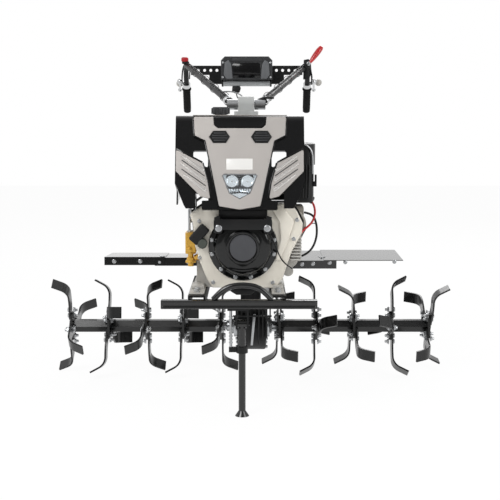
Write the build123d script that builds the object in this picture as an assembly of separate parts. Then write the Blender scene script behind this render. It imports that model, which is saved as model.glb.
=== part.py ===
from build123d import *
from math import asin, atan2, cos, degrees, radians, sin, sqrt
import os

# A walking power tiller. Millimetres, +Z up, the front of the machine faces -Y and the
# axle of the tine rotors lies along X at Y = 0. The whole model is moved at the end so
# that its origin is the middle of its bounding box, on the ground.

# Tine rotors
TINE_RADIUS = 180.0
TINE_WIDTH = 40.0
TINE_THICK = 6.0
TINE_REACH = 58.0
TINE_ROOT = 27.0
TINE_SWEEP = 30.0
TINE_SWEEP_RADIUS = 105.0
TINE_FOLD = 62.0
TINE_FOLD_RADIUS = 43.0
STANDING_ANGLE = 4.0
DISCS_PER_SIDE = 5
DISC_PITCH = 133.0
FIRST_DISC_X = 105.0
DISC_THICK = 8.0
DISC_SQUARE = 84.0
DISC_CORNER_SHARE = 0.62
HEX_ACROSS_FLATS = 42.0
HEX_OVERHANG = 10.0
HEX_WALL = 5.0
HEX_END_DEPTH = 30.0
SHAFT_RADIUS = 15.0
RUNNING_GAP = 0.3

# Final drive and transmission housing
CASE_RADIUS = 85.0
CASE_LEFT_X = -45.0
CASE_RIGHT_X = 57.0
SEAL_RADIUS = 40.0
SEAL_THICK = 13.0
NECK_LEFT_X = -33.0
NECK_RIGHT_X = 38.0
NECK_HALF_DEPTH = 62.0
BOX_LEFT_X = -82.0
BOX_RIGHT_X = 84.0
BOX_FRONT_Y = -88.0
BOX_BACK_Y = 150.0
BOX_BOTTOM_Z = 368.0
BOX_TOP_Z = 600.0
LID_THICK = 12.0
RIB_THICK = 6.0
RIB_HEIGHT = 8.0
RIB_COUNT = 5
HITCH_END_Y = 250.0
HITCH_HOLE_Y = 215.0
HITCH_BOTTOM_Z = 262.0
HITCH_TOP_Z = 342.0
HITCH_SLOT_Z = (282.0, 322.0)
HITCH_HOLE_RADIUS = 10.0

# Engine
ENGINE_X = -26.0
ENGINE_BACK_Y = -130.0
ENGINE_FRONT_Y = -330.0
ENGINE_BASE_Z = 381.0
BASE_PLATE_THICK = 6.0
CRANK_LEFT_X = -172.0
CRANK_RIGHT_X = 92.0
CRANKCASE_TOP_Z = 528.0
CRANK_AXIS_Z = 516.0
CLUTCH_RADIUS = 96.0
CYLINDER_HALF_WIDTH = 62.0
CYLINDER_HALF_DEPTH = 66.0
CYLINDER_Y = -215.0
FIN_COUNT = 9
FIN_PITCH = 12.0
FIN_THICK = 4.0
FIN_DEPTH = 10.0
HEAD_HEIGHT = 46.0
ROCKER_HEIGHT = 30.0
SHROUD_FRONT_Y = -390.0
RECOIL_RADIUS = 109.0
RECOIL_DEPTH = 30.0
RECOIL_RING_RADIUS = 53.0
RECOIL_RING_DEPTH = 9.0
BADGE_RADIUS = 40.0
BADGE_DEPTH = 3.0

# Hood
HOOD_X = -32.0
HOOD_HALF_WIDTH = 203.0
HOOD_TOP_Z = 926.0
HOOD_BACK_Y = 20.0
HOOD_FOOT_Y = -430.0
HOOD_FOOT_Z = 640.0
HOOD_TOP_FRONT_Y = -330.0
HOOD_WALL = 5.0
PANEL_THICK = 7.0
HOOD_FALL = 18.0
HOOD_PANEL_FOOT_Z = 636.0
HOOD_PANEL = ((64.0, 646.0), (84.0, 740.0), (108.0, 846.0), (142.0, 862.0), (146.0, 920.0))
HOOD_WING = ((200.0, 818.0), (118.0, 776.0), (100.0, 716.0), (92.0, 668.0), (122.0, 676.0), (200.0, 752.0))
HOOD_WINDOW = ((100.0, 764.0), (100.0, 816.0), (146.0, 816.0), (146.0, 786.0))
HOOD_LOW_WINDOW = ((98.0, 560.0), (138.0, 560.0), (138.0, 688.0), (98.0, 676.0))
HOOD_LOBE_CORNER = ((-60.0, 600.0), (20.0, 600.0), (20.0, 716.0), (-1.0, 716.0), (-28.0, 652.0))
HOOD_RECESS = ((70.0, 884.0), (82.0, 894.0), (86.0, 930.0))
NECK_RADIUS = 20.0
TANK_BOTTOM_Z = 812.0
TANK_FRONT_Y = -300.0
TANK_BACK_Y = -10.0
CAP_RADIUS = 26.0
CAP_HEIGHT = 27.0
CAP_X = -96.0
CAP_Y = -230.0

# Frame, bumper and front stand
RAIL_BOTTOM_Z = 340.0
RAIL_WALL = 6.0
RAIL_LEFT = (-192.0, -138.0)
RAIL_RIGHT = (64.0, 112.0)
RAIL_BACK_Y = -112.0
RAIL_SADDLE_HEIGHT = 40.0
BUMPER_FRONT_Y = -512.0
BUMPER_DEPTH = 26.0
BUMPER_LEFT_X = -274.0
BUMPER_RIGHT_X = 207.0
BUMPER_BOTTOM_Z = 338.0
BUMPER_TOP_Z = 365.0
ARCH_LEFT_X = -113.0
ARCH_RIGHT_X = 67.0
ARCH_TOP_Z = 416.0
ARCH_RADIUS = 9.5
STAND_X = -24.5
STAND_PIVOT_Z = 288.0
STAND_PIVOT_Y = -492.0
STAND_RADIUS = 11.0
STAND_RAKE = 3.0
STAND_PIN_RADIUS = 6.0
STAND_EAR_GAP = 30.0
STAND_EAR_THICK = 5.0
COLLAR_Z = 208.0
COLLAR_HEIGHT = 20.0
COLLAR_RADIUS = 18.0
COLLAR_LUG = 8.0
BRACKET_PLATE = 6.0
SEAT_GAP = 0.3
FOOT_RADIUS = 22.0
FOOT_HEIGHT = 16.0
SPRING_RADIUS = 6.0
SPRING_WIRE = 1.6
SPRING_TURNS = 9

# Fenders
FENDER_HALF_DEPTH = 100.0
FENDER_SHEET = 2.5
FENDER_LIP = 26.0
FENDER_LIP_THICK = 4.0
FENDER_Z = 428.0
FENDER_TILT_LEFT = -4.0
FENDER_TILT_RIGHT = 2.0
FENDER_BAR_THICK = 8.0
FENDER_BAR_HALF_DEPTH = 32.0
LEFT_INNER_FENDER = (-330.0, -150.0)
LEFT_OUTER_FENDER = (-504.0, -296.0)
RIGHT_INNER_FENDER = (140.0, 300.0)
RIGHT_OUTER_FENDER = (256.0, 530.0)

# Handlebar
HANDLE_X = -14.0
COLUMN_TOP_Z = 926.0
COLUMN_TOP_Y = 152.0
COLUMN_FOOT_Y = 95.0
TURNTABLE_RADIUS = 44.0
TURNTABLE_THICK = 12.0
SWIVEL_PIN_RADIUS = 14.0
SWIVEL_PIN_LENGTH = 30.0
BASE_DISC_THICK = 13.0
BASE_HALF_WIDTH = 29.0
BASE_HALF_DEPTH = 30.0
TILT_ABOVE_TURNTABLE = 38.0
TILT_SHAFT_RADIUS = 11.0
HUB_RADIUS = 19.0
HUB_LENGTH = 40.0
ARM_RADIUS = 11.0
ARM_SPREAD = 263.0
ARM_FOOT_SPREAD = 52.0
ARM_CORNER_Y = 850.0
ARM_CORNER_Z = 1138.0
ARM_END_Y = 1000.0
ARM_END_Z = 946.0
ARM_BEND = 45.0
GRIP_LENGTH = 125.0
GRIP_RADIUS = 16.0
CONSOLE_WIDTH = 214.0
CONSOLE_BOTTOM_Z = 1070.0
CONSOLE_TOP_Z = 1166.0
CONSOLE_FRONT_Y = 690.0
CONSOLE_BACK_Y = 760.0
BRACE_THICK = 4.0
BRACE_BOTTOM_Z = 1092.0
BRACE_TOP_Z = 1131.0
ROLL_RADIUS = 13.0

# Derived places
TINE_FOOT_IN = TINE_THICK / 2 * (1 + cos(radians(TINE_FOLD)))
TINE_FOOT_IN += TINE_FOLD_RADIUS * (1 - cos(radians(TINE_FOLD)))
TINE_FOOT = (TINE_REACH - TINE_FOOT_IN) / sin(radians(TINE_FOLD))
TINE_RISE = (TINE_FOLD_RADIUS + TINE_THICK / 2) * sin(radians(TINE_FOLD))
TINE_RISE += TINE_FOOT * cos(radians(TINE_FOLD))
TINE_LAG = TINE_SWEEP_RADIUS * (1 - cos(radians(TINE_SWEEP))) + TINE_RISE * sin(radians(TINE_SWEEP))
TINE_LAG -= TINE_WIDTH / 2 * cos(radians(TINE_SWEEP))
TINE_STRAIGHT = sqrt(TINE_RADIUS**2 - TINE_LAG**2) - TINE_ROOT - TINE_RISE * cos(radians(TINE_SWEEP))
TINE_STRAIGHT -= (TINE_SWEEP_RADIUS + TINE_WIDTH / 2) * sin(radians(TINE_SWEEP))
AXLE_Z = TINE_RADIUS * cos(radians(STANDING_ANGLE) + asin(TINE_LAG / TINE_RADIUS))
RAIL_TOP_Z = ENGINE_BASE_Z - BASE_PLATE_THICK
HOOD_SLOPE = degrees(atan2(HOOD_TOP_FRONT_Y - HOOD_FOOT_Y, HOOD_TOP_Z - HOOD_FOOT_Z))
TILT_Z = COLUMN_TOP_Z + TILT_ABOVE_TURNTABLE
TILT_Y = COLUMN_TOP_Y
HEAD_BOTTOM_Z = CRANKCASE_TOP_Z + FIN_COUNT * FIN_PITCH
HEAD_TOP_Z = HEAD_BOTTOM_Z + HEAD_HEIGHT


def block(x0, x1, y0, y1, z0, z1):
    """A box between two corners."""
    return Pos((x0 + x1) / 2, (y0 + y1) / 2, (z0 + z1) / 2) * Box(x1 - x0, y1 - y0, z1 - z0)


def rod_x(radius, x0, x1, y, z):
    """A round bar along X."""
    return Pos((x0 + x1) / 2, y, z) * Rot(0, 90, 0) * Cylinder(radius, x1 - x0)


def rod_y(radius, y0, y1, x, z):
    """A round bar along Y."""
    return Pos(x, (y0 + y1) / 2, z) * Rot(90, 0, 0) * Cylinder(radius, y1 - y0)


def rod_z(radius, z0, z1, x, y):
    """An upright round bar."""
    return Pos(x, y, (z0 + z1) / 2) * Cylinder(radius, z1 - z0)


def rod_between(start, end, radius):
    """A straight round bar from one point to another."""
    path = Line(start, end)
    return sweep(Plane(origin=path @ 0, z_dir=path % 0) * Circle(radius), path=path)


def pipe(points, bends, radius):
    """A round pipe along straight runs that tangent arcs join."""
    path = FilletPolyline(*points, radius=bends)
    return sweep(Plane(origin=path @ 0, z_dir=path % 0) * Circle(radius), path=path)


def front_plate(outline, front_y, thick):
    """A plate cut to an outline of (x, z) points seen from the front."""
    plane = Plane(origin=(0, front_y + thick, 0), x_dir=(1, 0, 0), z_dir=(0, -1, 0))
    return extrude(plane * outline, thick, dir=plane.z_dir)


def polygon(points, rounding=0.0):
    """A flat outline through points, its corners rounded."""
    face = Polygon(*points, align=None)
    return fillet(face.vertices(), rounding) if rounding else face


def hexagon(across_flats):
    """A hexagon with two corners fore and aft and flats at top and bottom."""
    return RegularPolygon(across_flats / sqrt(3), 6)


# Tine rotors


def tine():
    """One tine that points up: a flat bar curved forward, its foot folded over towards +X."""
    x = (DISC_THICK + TINE_THICK) / 2
    section = Rectangle(TINE_THICK, TINE_WIDTH)
    root = Plane(origin=(x, 0, TINE_ROOT), x_dir=(1, 0, 0), z_dir=(0, 0, 1))
    knee = root.offset(TINE_STRAIGHT)
    bar = extrude(root * section, TINE_STRAIGHT)
    bend = Axis((x, -TINE_SWEEP_RADIUS, knee.origin.Z), (1, 0, 0))
    bar += revolve(knee * section, axis=bend, revolution_arc=TINE_SWEEP)
    swept = radians(TINE_SWEEP)
    along = Vector(0, -sin(swept), cos(swept))
    across = Vector(0, cos(swept), sin(swept))
    ankle = Vector(x, 0, knee.origin.Z) - Vector(0, TINE_SWEEP_RADIUS, 0) + across * TINE_SWEEP_RADIUS
    face = Plane(origin=ankle, x_dir=(1, 0, 0), z_dir=along) * section
    pivot = ankle + Vector(TINE_FOLD_RADIUS, 0, 0)
    bar += revolve(face, axis=Axis(pivot, across), revolution_arc=TINE_FOLD)
    folded = radians(TINE_FOLD)
    outward = Vector(-cos(folded), 0, 0) + along * sin(folded)
    onward = Vector(sin(folded), 0, 0) + along * cos(folded)
    foot = Plane(origin=pivot + outward * TINE_FOLD_RADIUS, x_dir=outward, z_dir=onward)
    return bar + extrude(foot * section, TINE_FOOT)


def tine_disc(x, phase, first_side):
    """A flange plate with four tines; opposite tines bend the same way."""
    plate = Rot(0, 0, 45) * Rectangle(DISC_SQUARE, DISC_SQUARE)
    plate = plate & Circle(DISC_SQUARE * DISC_CORNER_SHARE)
    disc = extrude(Plane.YZ.offset(-DISC_THICK / 2) * plate, DISC_THICK)
    right_tine = tine()
    left_tine = mirror(right_tine, about=Plane.YZ)
    for turn in range(4):
        side = first_side if turn % 2 == 0 else -first_side
        disc += Rot(90 * turn, 0, 0) * (right_tine if side > 0 else left_tine)
    hole = extrude(Plane.YZ.offset(-DISC_THICK) * hexagon(HEX_ACROSS_FLATS), 2 * DISC_THICK)
    return Pos(x, 0, AXLE_Z) * (Rot(phase, 0, 0) * disc - hole)


def tine_discs(side):
    """The discs of one rotor. The right rotor is the left one's kind, turned end for end."""
    bends = {-1: (1, 1, 1, 1, -1), 1: (-1, 1, -1, -1, 1)}[side]
    discs = []
    for number in range(DISCS_PER_SIDE):
        standing = (number % 2 == 0) == (side < 0)
        phase = STANDING_ANGLE if standing else STANDING_ANGLE + 45
        disc = tine_disc(-(FIRST_DISC_X + number * DISC_PITCH), phase, bends[number])
        discs.append(disc if side < 0 else Rot(0, 0, 180) * disc)
    return Compound(children=discs)


def rotor_shaft():
    """Output shaft through the final drive; both rotor tubes are pinned on its ends."""
    end = FIRST_DISC_X - DISC_THICK
    return rod_x(SHAFT_RADIUS, -end, end, 0, AXLE_Z)


def rotor_tube(side):
    """Hexagonal tube that carries one side's discs."""
    start = FIRST_DISC_X - DISC_THICK
    end = FIRST_DISC_X + (DISCS_PER_SIDE - 1) * DISC_PITCH + HEX_OVERHANG
    tube = extrude(Plane.YZ.offset(start) * hexagon(HEX_ACROSS_FLATS), end - start)
    socket = hexagon(HEX_ACROSS_FLATS - 2 * HEX_WALL)
    tube -= extrude(Plane.YZ.offset(end - HEX_END_DEPTH) * socket, HEX_END_DEPTH + 1)
    if side < 0:
        tube = mirror(tube, about=Plane.YZ)
    return Pos(0, 0, AXLE_Z) * tube


# Final drive and transmission


def gearbox():
    """Cast housing: round final drive on the axle, a narrow neck and the wide gear case."""
    case = rod_x(CASE_RADIUS, CASE_LEFT_X, CASE_RIGHT_X, 0, AXLE_Z)
    case = fillet(case.edges().filter_by(GeomType.CIRCLE), 8)
    neck = block(NECK_LEFT_X, NECK_RIGHT_X, -NECK_HALF_DEPTH, NECK_HALF_DEPTH, AXLE_Z, BOX_BOTTOM_Z + 20)
    gear_case = block(BOX_LEFT_X, BOX_RIGHT_X, BOX_FRONT_Y, BOX_BACK_Y, BOX_BOTTOM_Z, BOX_TOP_Z)
    gear_case = fillet(gear_case.edges().filter_by(Axis.Z), 18)
    gear_case = chamfer(gear_case.edges().group_by(Axis.Z)[0], 9)
    body = case + neck + gear_case
    span = NECK_RIGHT_X - NECK_LEFT_X - RIB_THICK
    for number in range(RIB_COUNT):
        x = NECK_LEFT_X + span * number / (RIB_COUNT - 1)
        body += block(
            x, x + RIB_THICK, -NECK_HALF_DEPTH - RIB_HEIGHT, NECK_HALF_DEPTH + RIB_HEIGHT,
            AXLE_Z + CASE_RADIUS * 0.55, BOX_BOTTOM_Z + 10,
        )
    return body - rod_x(SHAFT_RADIUS + RUNNING_GAP, CASE_LEFT_X - 1, CASE_RIGHT_X + 1, 0, AXLE_Z)


def gearbox_lid():
    """Flat lid on the gear case."""
    lid = block(BOX_LEFT_X, BOX_RIGHT_X, BOX_FRONT_Y, BOX_BACK_Y, BOX_TOP_Z, BOX_TOP_Z + LID_THICK)
    return fillet(lid.edges().filter_by(Axis.Z), 18)


def axle_seals():
    """Turned seal flanges on both sides of the final drive."""
    seals = []
    for side, wall in ((-1, CASE_LEFT_X), (1, CASE_RIGHT_X)):
        low, high = sorted((wall, wall + side * SEAL_THICK))
        ring = rod_x(SEAL_RADIUS, low, high, 0, AXLE_Z)
        seals.append(ring - rod_x(SHAFT_RADIUS + RUNNING_GAP, low - 1, high + 1, 0, AXLE_Z))
    return Compound(children=seals)


def clutch_housing():
    """Bell housing between the engine and the gear case."""
    bell = rod_y(CLUTCH_RADIUS, ENGINE_BACK_Y, BOX_FRONT_Y, ENGINE_X + 20, CRANK_AXIS_Z)
    return bell & block(-300, 300, -300, 300, ENGINE_BASE_Z, BOX_TOP_Z + LID_THICK)


def rear_hitch():
    """Cast drawbar bracket with an upright pin hole, on the back of the neck."""
    back = NECK_HALF_DEPTH + RIB_HEIGHT
    bracket = block(NECK_LEFT_X, NECK_RIGHT_X, back, HITCH_END_Y, HITCH_BOTTOM_Z, HITCH_TOP_Z)
    slot_low, slot_high = HITCH_SLOT_Z
    bracket -= block(NECK_LEFT_X - 1, NECK_RIGHT_X + 1, back + 30, HITCH_END_Y + 1, slot_low, slot_high)
    bracket -= rod_z(HITCH_HOLE_RADIUS, HITCH_BOTTOM_Z - 1, HITCH_TOP_Z + 1, hitch_x(), HITCH_HOLE_Y)
    return bracket


def hitch_x():
    """The middle of the neck, where the drawbar pin stands."""
    return (NECK_LEFT_X + NECK_RIGHT_X) / 2


# Engine


def crankcase():
    """Crankcase on its base plate."""
    body = block(CRANK_LEFT_X, CRANK_RIGHT_X, ENGINE_FRONT_Y, ENGINE_BACK_Y, ENGINE_BASE_Z, CRANKCASE_TOP_Z)
    body = fillet(body.edges().filter_by(Axis.Y), 14)
    plate = block(
        RAIL_LEFT[0] + 8, RAIL_RIGHT[1], ENGINE_FRONT_Y, ENGINE_BACK_Y, RAIL_TOP_Z, ENGINE_BASE_Z,
    )
    return body + plate


def cylinder():
    """Finned cylinder barrel, with thin fins on a square barrel."""
    top = HEAD_BOTTOM_Z
    x0, x1 = ENGINE_X - CYLINDER_HALF_WIDTH, ENGINE_X + CYLINDER_HALF_WIDTH
    y0, y1 = CYLINDER_Y - CYLINDER_HALF_DEPTH, CYLINDER_Y + CYLINDER_HALF_DEPTH
    body = block(
        x0 + FIN_DEPTH, x1 - FIN_DEPTH, y0 + FIN_DEPTH, y1 - FIN_DEPTH, CRANKCASE_TOP_Z, top,
    )
    for number in range(FIN_COUNT):
        z = CRANKCASE_TOP_Z + FIN_PITCH * (number + 0.5)
        fin = block(x0, x1, y0, y1, z, z + FIN_THICK)
        body += fillet(fin.edges().filter_by(Axis.Z), 12)
    return body


def cylinder_head():
    """Cylinder head with three deep fins."""
    x0, x1 = ENGINE_X - CYLINDER_HALF_WIDTH, ENGINE_X + CYLINDER_HALF_WIDTH
    y0, y1 = CYLINDER_Y - CYLINDER_HALF_DEPTH, CYLINDER_Y + CYLINDER_HALF_DEPTH
    head = block(x0, x1, y0, y1, HEAD_BOTTOM_Z, HEAD_TOP_Z)
    head = fillet(head.edges().filter_by(Axis.Z), 12)
    for number in range(3):
        z = HEAD_BOTTOM_Z + 8 + FIN_PITCH * number
        groove = block(x0 - 1, x1 + 1, y0 - 1, y1 + 1, z, z + 6)
        groove -= block(x0 + FIN_DEPTH, x1 - FIN_DEPTH, y0 + FIN_DEPTH, y1 - FIN_DEPTH, z - 1, z + 7)
        head -= groove
    return head


def rocker_cover():
    """Domed valve cover on the head."""
    cover = block(
        ENGINE_X - CYLINDER_HALF_WIDTH + 12, ENGINE_X + CYLINDER_HALF_WIDTH - 12,
        CYLINDER_Y - CYLINDER_HALF_DEPTH + 10, CYLINDER_Y + CYLINDER_HALF_DEPTH - 10,
        HEAD_TOP_Z, HEAD_TOP_Z + ROCKER_HEIGHT,
    )
    cover = fillet(cover.edges().filter_by(Axis.Z), 16)
    return fillet(cover.edges().group_by(Axis.Z)[-1], 10)


def shroud_outline():
    """The fan shroud seen from the front: wide shoulders, a narrow foot."""
    return polygon([
        (-136, 652), (-190, 618), (-180, 589), (-174, 517), (-158, 463), (-136, 409), (-120, 383),
        (79, 381), (104, 412), (120, 463), (133, 501), (164, 558), (167, 589), (148, 627), (126, 652),
    ], 6)


def fan_shroud():
    """Pressed fan shroud in front of the crankcase."""
    shroud = front_plate(shroud_outline(), SHROUD_FRONT_Y, ENGINE_FRONT_Y - SHROUD_FRONT_Y)
    return fillet(shroud.faces().sort_by(Axis.Y)[0].edges(), 5)


def recoil_starter():
    """Round recoil starter housing with a raised ring."""
    back = SHROUD_FRONT_Y
    x, z = ENGINE_X + 4, CRANK_AXIS_Z
    housing = rod_y(RECOIL_RADIUS, back - RECOIL_DEPTH, back, x, z)
    housing = fillet(housing.edges().group_by(Axis.Y)[0], 12)
    ring = rod_y(RECOIL_RING_RADIUS, back - RECOIL_DEPTH - RECOIL_RING_DEPTH, back - RECOIL_DEPTH, x, z)
    ring = fillet(ring.edges().group_by(Axis.Y)[0], 4)
    return housing + ring


def recoil_badge():
    """Plain round disc in the middle of the recoil starter."""
    front = SHROUD_FRONT_Y - RECOIL_DEPTH - RECOIL_RING_DEPTH
    return rod_y(BADGE_RADIUS, front - BADGE_DEPTH, front, ENGINE_X + 4, CRANK_AXIS_Z)


def recoil_handle():
    """Pull handle of the starter, held on its guide at the side of the housing."""
    grip = Box(64, 26, 34)
    grip = fillet(grip.edges(), 6)
    return Pos(-160, SHROUD_FRONT_Y - 13.0, 556) * Rot(0, -48, 0) * grip


def air_filter():
    """Round air cleaner canister with its inlet hood."""
    can = rod_y(52, -315, -180, 128, 577)
    can = fillet(can.edges().filter_by(GeomType.CIRCLE), 10)
    hood = block(142, 174, -300, -240, 590, 638)
    hood = fillet(hood.edges().group_by(Axis.Z)[-1], 9)
    return can + hood


def intake_elbow():
    """Cast intake manifold from the air cleaner up to the cylinder head."""
    side = ENGINE_X + CYLINDER_HALF_WIDTH
    z = HEAD_BOTTOM_Z + HEAD_HEIGHT / 2
    body = block(side + 6, side + 34, CYLINDER_Y - 20, CYLINDER_Y + 20, 568, z + 13)
    body = fillet(body.edges().filter_by(Axis.Z), 8)
    body += rod_x(13, side, side + 8, CYLINDER_Y, z) + rod_x(13, side + 32, side + 50, CYLINDER_Y, 582)
    return body - air_filter()


def muffler():
    """Flat upright silencer beside the head, with its exhaust pipe."""
    box = block(128, 205, -330, -160, 648, 805)
    box = fillet(box.edges().filter_by(Axis.Z), 26)
    box = fillet(box.edges().group_by(Axis.Z)[-1] + box.edges().group_by(Axis.Z)[0], 8)
    z = HEAD_TOP_Z - 14
    stub = rod_x(17, ENGINE_X + CYLINDER_HALF_WIDTH, 132, CYLINDER_Y - 41, z)
    return box + stub


def muffler_shield():
    """Bright curved heat shield round the top of the silencer."""
    shell = block(124, 209, -334, -156, 770, 836)
    shell = fillet(shell.edges().filter_by(Axis.Z), 30)
    inside = block(128, 205, -330, -160, 760, 833)
    inside = fillet(inside.edges().filter_by(Axis.Z), 26)
    return shell - inside


def injection_pump():
    """Injection pump with its delivery fitting, on the left of the crankcase."""
    body = block(-206, CRANK_LEFT_X, -372, -318, 495, 556)
    body = fillet(body.edges().filter_by(Axis.Z), 5)
    fitting = rod_z(9, 447, 495, -190, -350) + rod_z(13, 462, 476, -190, -350)
    return (body + fitting) - fan_shroud()


def injection_line():
    """Steel injection pipe from the pump up to the head."""
    head_x = ENGINE_X - CYLINDER_HALF_WIDTH
    points = [(-194, -345, 556), (-194, -345, 640), (-150, -260, 668), (head_x + 3, -215, 668)]
    return pipe(points, [24, 24], 4) - cylinder_head()


def starter_motor():
    """Electric starter motor with its solenoid, on the right of the crankcase."""
    x = CRANK_RIGHT_X + 32
    motor = rod_y(32, ENGINE_FRONT_Y, -190, x, 470)
    solenoid = rod_y(17, ENGINE_FRONT_Y + 20, -240, x, 424)
    saddle = block(x - 12, x + 12, ENGINE_FRONT_Y + 30, -250, 434, 450)
    return motor + solenoid + saddle


def voltage_regulator():
    """Finned regulator on the right edge of the shroud."""
    body = block(133, 160, -368, -336, 466, 546)
    for number in range(8):
        z = 470 + number * 10
        body += block(129, 164, -380, -332, z, z + 4)
    return body - fan_shroud()


def fuel_tank():
    """Moulded fuel tank under the hood roof."""
    top = HOOD_TOP_Z - HOOD_FALL - HOOD_WALL - 1
    tank = block(-205, 118, TANK_FRONT_Y, TANK_BACK_Y, TANK_BOTTOM_Z, top)
    tank = fillet(tank.edges().filter_by(Axis.Z), 24)
    tank = fillet(tank.edges().group_by(Axis.Z)[0], 12)
    return tank + rod_z(NECK_RADIUS, top - 1, HOOD_TOP_Z + 3, CAP_X, CAP_Y)


def fuel_cap():
    """Lobed fuel cap."""
    cap = rod_z(CAP_RADIUS, HOOD_TOP_Z + 3, HOOD_TOP_Z + CAP_HEIGHT, CAP_X, CAP_Y)
    for turn in range(8):
        spot = Pos(CAP_X, CAP_Y, 0) * Rot(0, 0, 45 * turn) * Pos(CAP_RADIUS + 3, 0, 0)
        cap -= spot * rod_z(7, HOOD_TOP_Z, HOOD_TOP_Z + CAP_HEIGHT + 1, 0, 0)
    return cap


# Hood


def hood_plane(forward=0.0):
    """The sloping front plane of the hood, with its origin at the hood's foot."""
    slope = radians(HOOD_SLOPE)
    normal = (0, -cos(slope), sin(slope))
    origin = (HOOD_X, HOOD_FOOT_Y - cos(slope) * forward, HOOD_FOOT_Z + sin(slope) * forward)
    return Plane(origin=origin, x_dir=(1, 0, 0), z_dir=normal)


def on_slope(points):
    """Turn (sideways, height) points into places on the sloping front plane."""
    slope = radians(HOOD_SLOPE)
    return [(x, (z - HOOD_FOOT_Z) / cos(slope)) for x, z in points]


def sloped_plate(points, forward, thick, rounding=0.0):
    """A plate on the sloping front, its back face forward of the hood's front plane."""
    plane = hood_plane(forward)
    return extrude(plane * polygon(on_slope(points), rounding), thick, dir=plane.z_dir)


def mirrored(points):
    """A symmetric outline from the points of its right half, bottom to top."""
    return points + [(-x, z) for x, z in reversed(points)]


def hood_shell():
    """Black moulded hood: roof, side walls, front band, middle strip and lower cross strip."""
    w = HOOD_HALF_WIDTH
    side = Polygon(
        (HOOD_FOOT_Y, HOOD_FOOT_Z), (HOOD_TOP_FRONT_Y, HOOD_TOP_Z), (HOOD_BACK_Y, HOOD_TOP_Z - HOOD_FALL),
        (HOOD_BACK_Y + 12, 700), (HOOD_FOOT_Y + 60, HOOD_FOOT_Z), align=None,
    )
    solid = Pos(HOOD_X - w, 0, 0) * extrude(Plane.YZ * side, 2 * w, dir=(1, 0, 0))
    edges = solid.edges().filter_by(Axis.X).sort_by(Axis.Z)[-2:]
    solid = fillet(edges, 24)
    hollow = Polygon(
        (HOOD_FOOT_Y + 10, HOOD_FOOT_Z - 5), (HOOD_TOP_FRONT_Y + 12, HOOD_TOP_Z - HOOD_WALL),
        (HOOD_BACK_Y + 20, HOOD_TOP_Z - HOOD_FALL - HOOD_WALL), (HOOD_BACK_Y + 20, 600), (HOOD_FOOT_Y, 600),
        align=None,
    )
    inner = w - HOOD_WALL
    solid -= Pos(HOOD_X - inner, 0, 0) * extrude(Plane.YZ * hollow, 2 * inner, dir=(1, 0, 0))
    for side_x in (-1, 1):
        window = [(side_x * across, z) for across, z in HOOD_WINDOW]
        solid -= sloped_plate(window, -40, 60, 4)
        low = [(side_x * across, z) for across, z in HOOD_LOW_WINDOW]
        solid -= sloped_plate(low, -40, 60)
        corner = [(side_x * (w + across), z) for across, z in HOOD_LOBE_CORNER]
        solid -= sloped_plate(corner, -80, 120)
    solid -= block(HOOD_X + w - 20, HOOD_X + w + 20, -350, -130, 600, 845)
    spine = sloped_plate(mirrored([(80, 650), (98, 812)]), -8, 8)
    strip = sloped_plate(mirrored([(118, 636), (118, 664)]), -8, 8, 3)
    solid -= rod_z(NECK_RADIUS + 1, HOOD_TOP_Z - 60, HOOD_TOP_Z + 1, CAP_X, CAP_Y)
    tank_top = HOOD_TOP_Z - HOOD_FALL - HOOD_WALL - 1
    for rib_y in (TANK_FRONT_Y + 30, TANK_BACK_Y - 40):
        rib = block(HOOD_X - 120, HOOD_X + 120, rib_y, rib_y + 6, tank_top, HOOD_TOP_Z - HOOD_WALL)
        solid += rib
    return solid + spine + strip - headlamp_core(0.0)


def centre_panel():
    """Silver centre panel: wide at the top, a waist and a shallow V at the foot."""
    outline = [(0.0, HOOD_PANEL_FOOT_Z)] + mirrored(list(HOOD_PANEL))
    panel = sloped_plate(outline, 0.0, PANEL_THICK, 5)
    panel -= sloped_plate(mirrored(list(HOOD_RECESS)), -1, PANEL_THICK + 2, 5)
    return panel - headlamp_core(0.0)


def headlamp_outline(grow=0.0):
    """Shield-shaped lamp outline, flat at the top and pointed at the foot."""
    points = [(0, 666 - grow), (34 + grow, 684), (56 + grow, 738), (50 + grow, 744 + grow)]
    return mirrored(points[1:]) + [points[0]]


def headlamp_core(grow):
    """The space the lamp takes in the front panels."""
    return sloped_plate(headlamp_outline(grow), -30, 60)


def headlamp_housing():
    """Reflector bowl of the headlamp."""
    bowl = sloped_plate(headlamp_outline(), -30, 30 + PANEL_THICK)
    return bowl - sloped_plate(headlamp_outline(-4), -20, 60)


def headlamp_lens():
    """Clear lens in the mouth of the reflector bowl."""
    return sloped_plate(headlamp_outline(-4), PANEL_THICK - 4, 4)


def hood_wings(shell):
    """Silver cheeks that run down from the hood's sides to the centre panel."""
    wings = []
    for side in (-1, 1):
        points = [(side * x, z) for x, z in HOOD_WING]
        wings.append(sloped_plate(points, SEAT_GAP, PANEL_THICK, 4) - shell)
    return Compound(children=wings)


def hood_posts(shell):
    """Posts between the fan shroud and the lower cross strip of the hood."""
    posts = []
    for x0 in (HOOD_X - 62, HOOD_X + 62):
        post = block(x0, x0 + 13, HOOD_FOOT_Y + 6, SHROUD_FRONT_Y, 620, 654)
        back = block(x0 - 1, x0 + 14, HOOD_FOOT_Y, SHROUD_FRONT_Y - 5, 610, 638)
        posts.append(post - back - shell)
    return Compound(children=posts)


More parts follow.
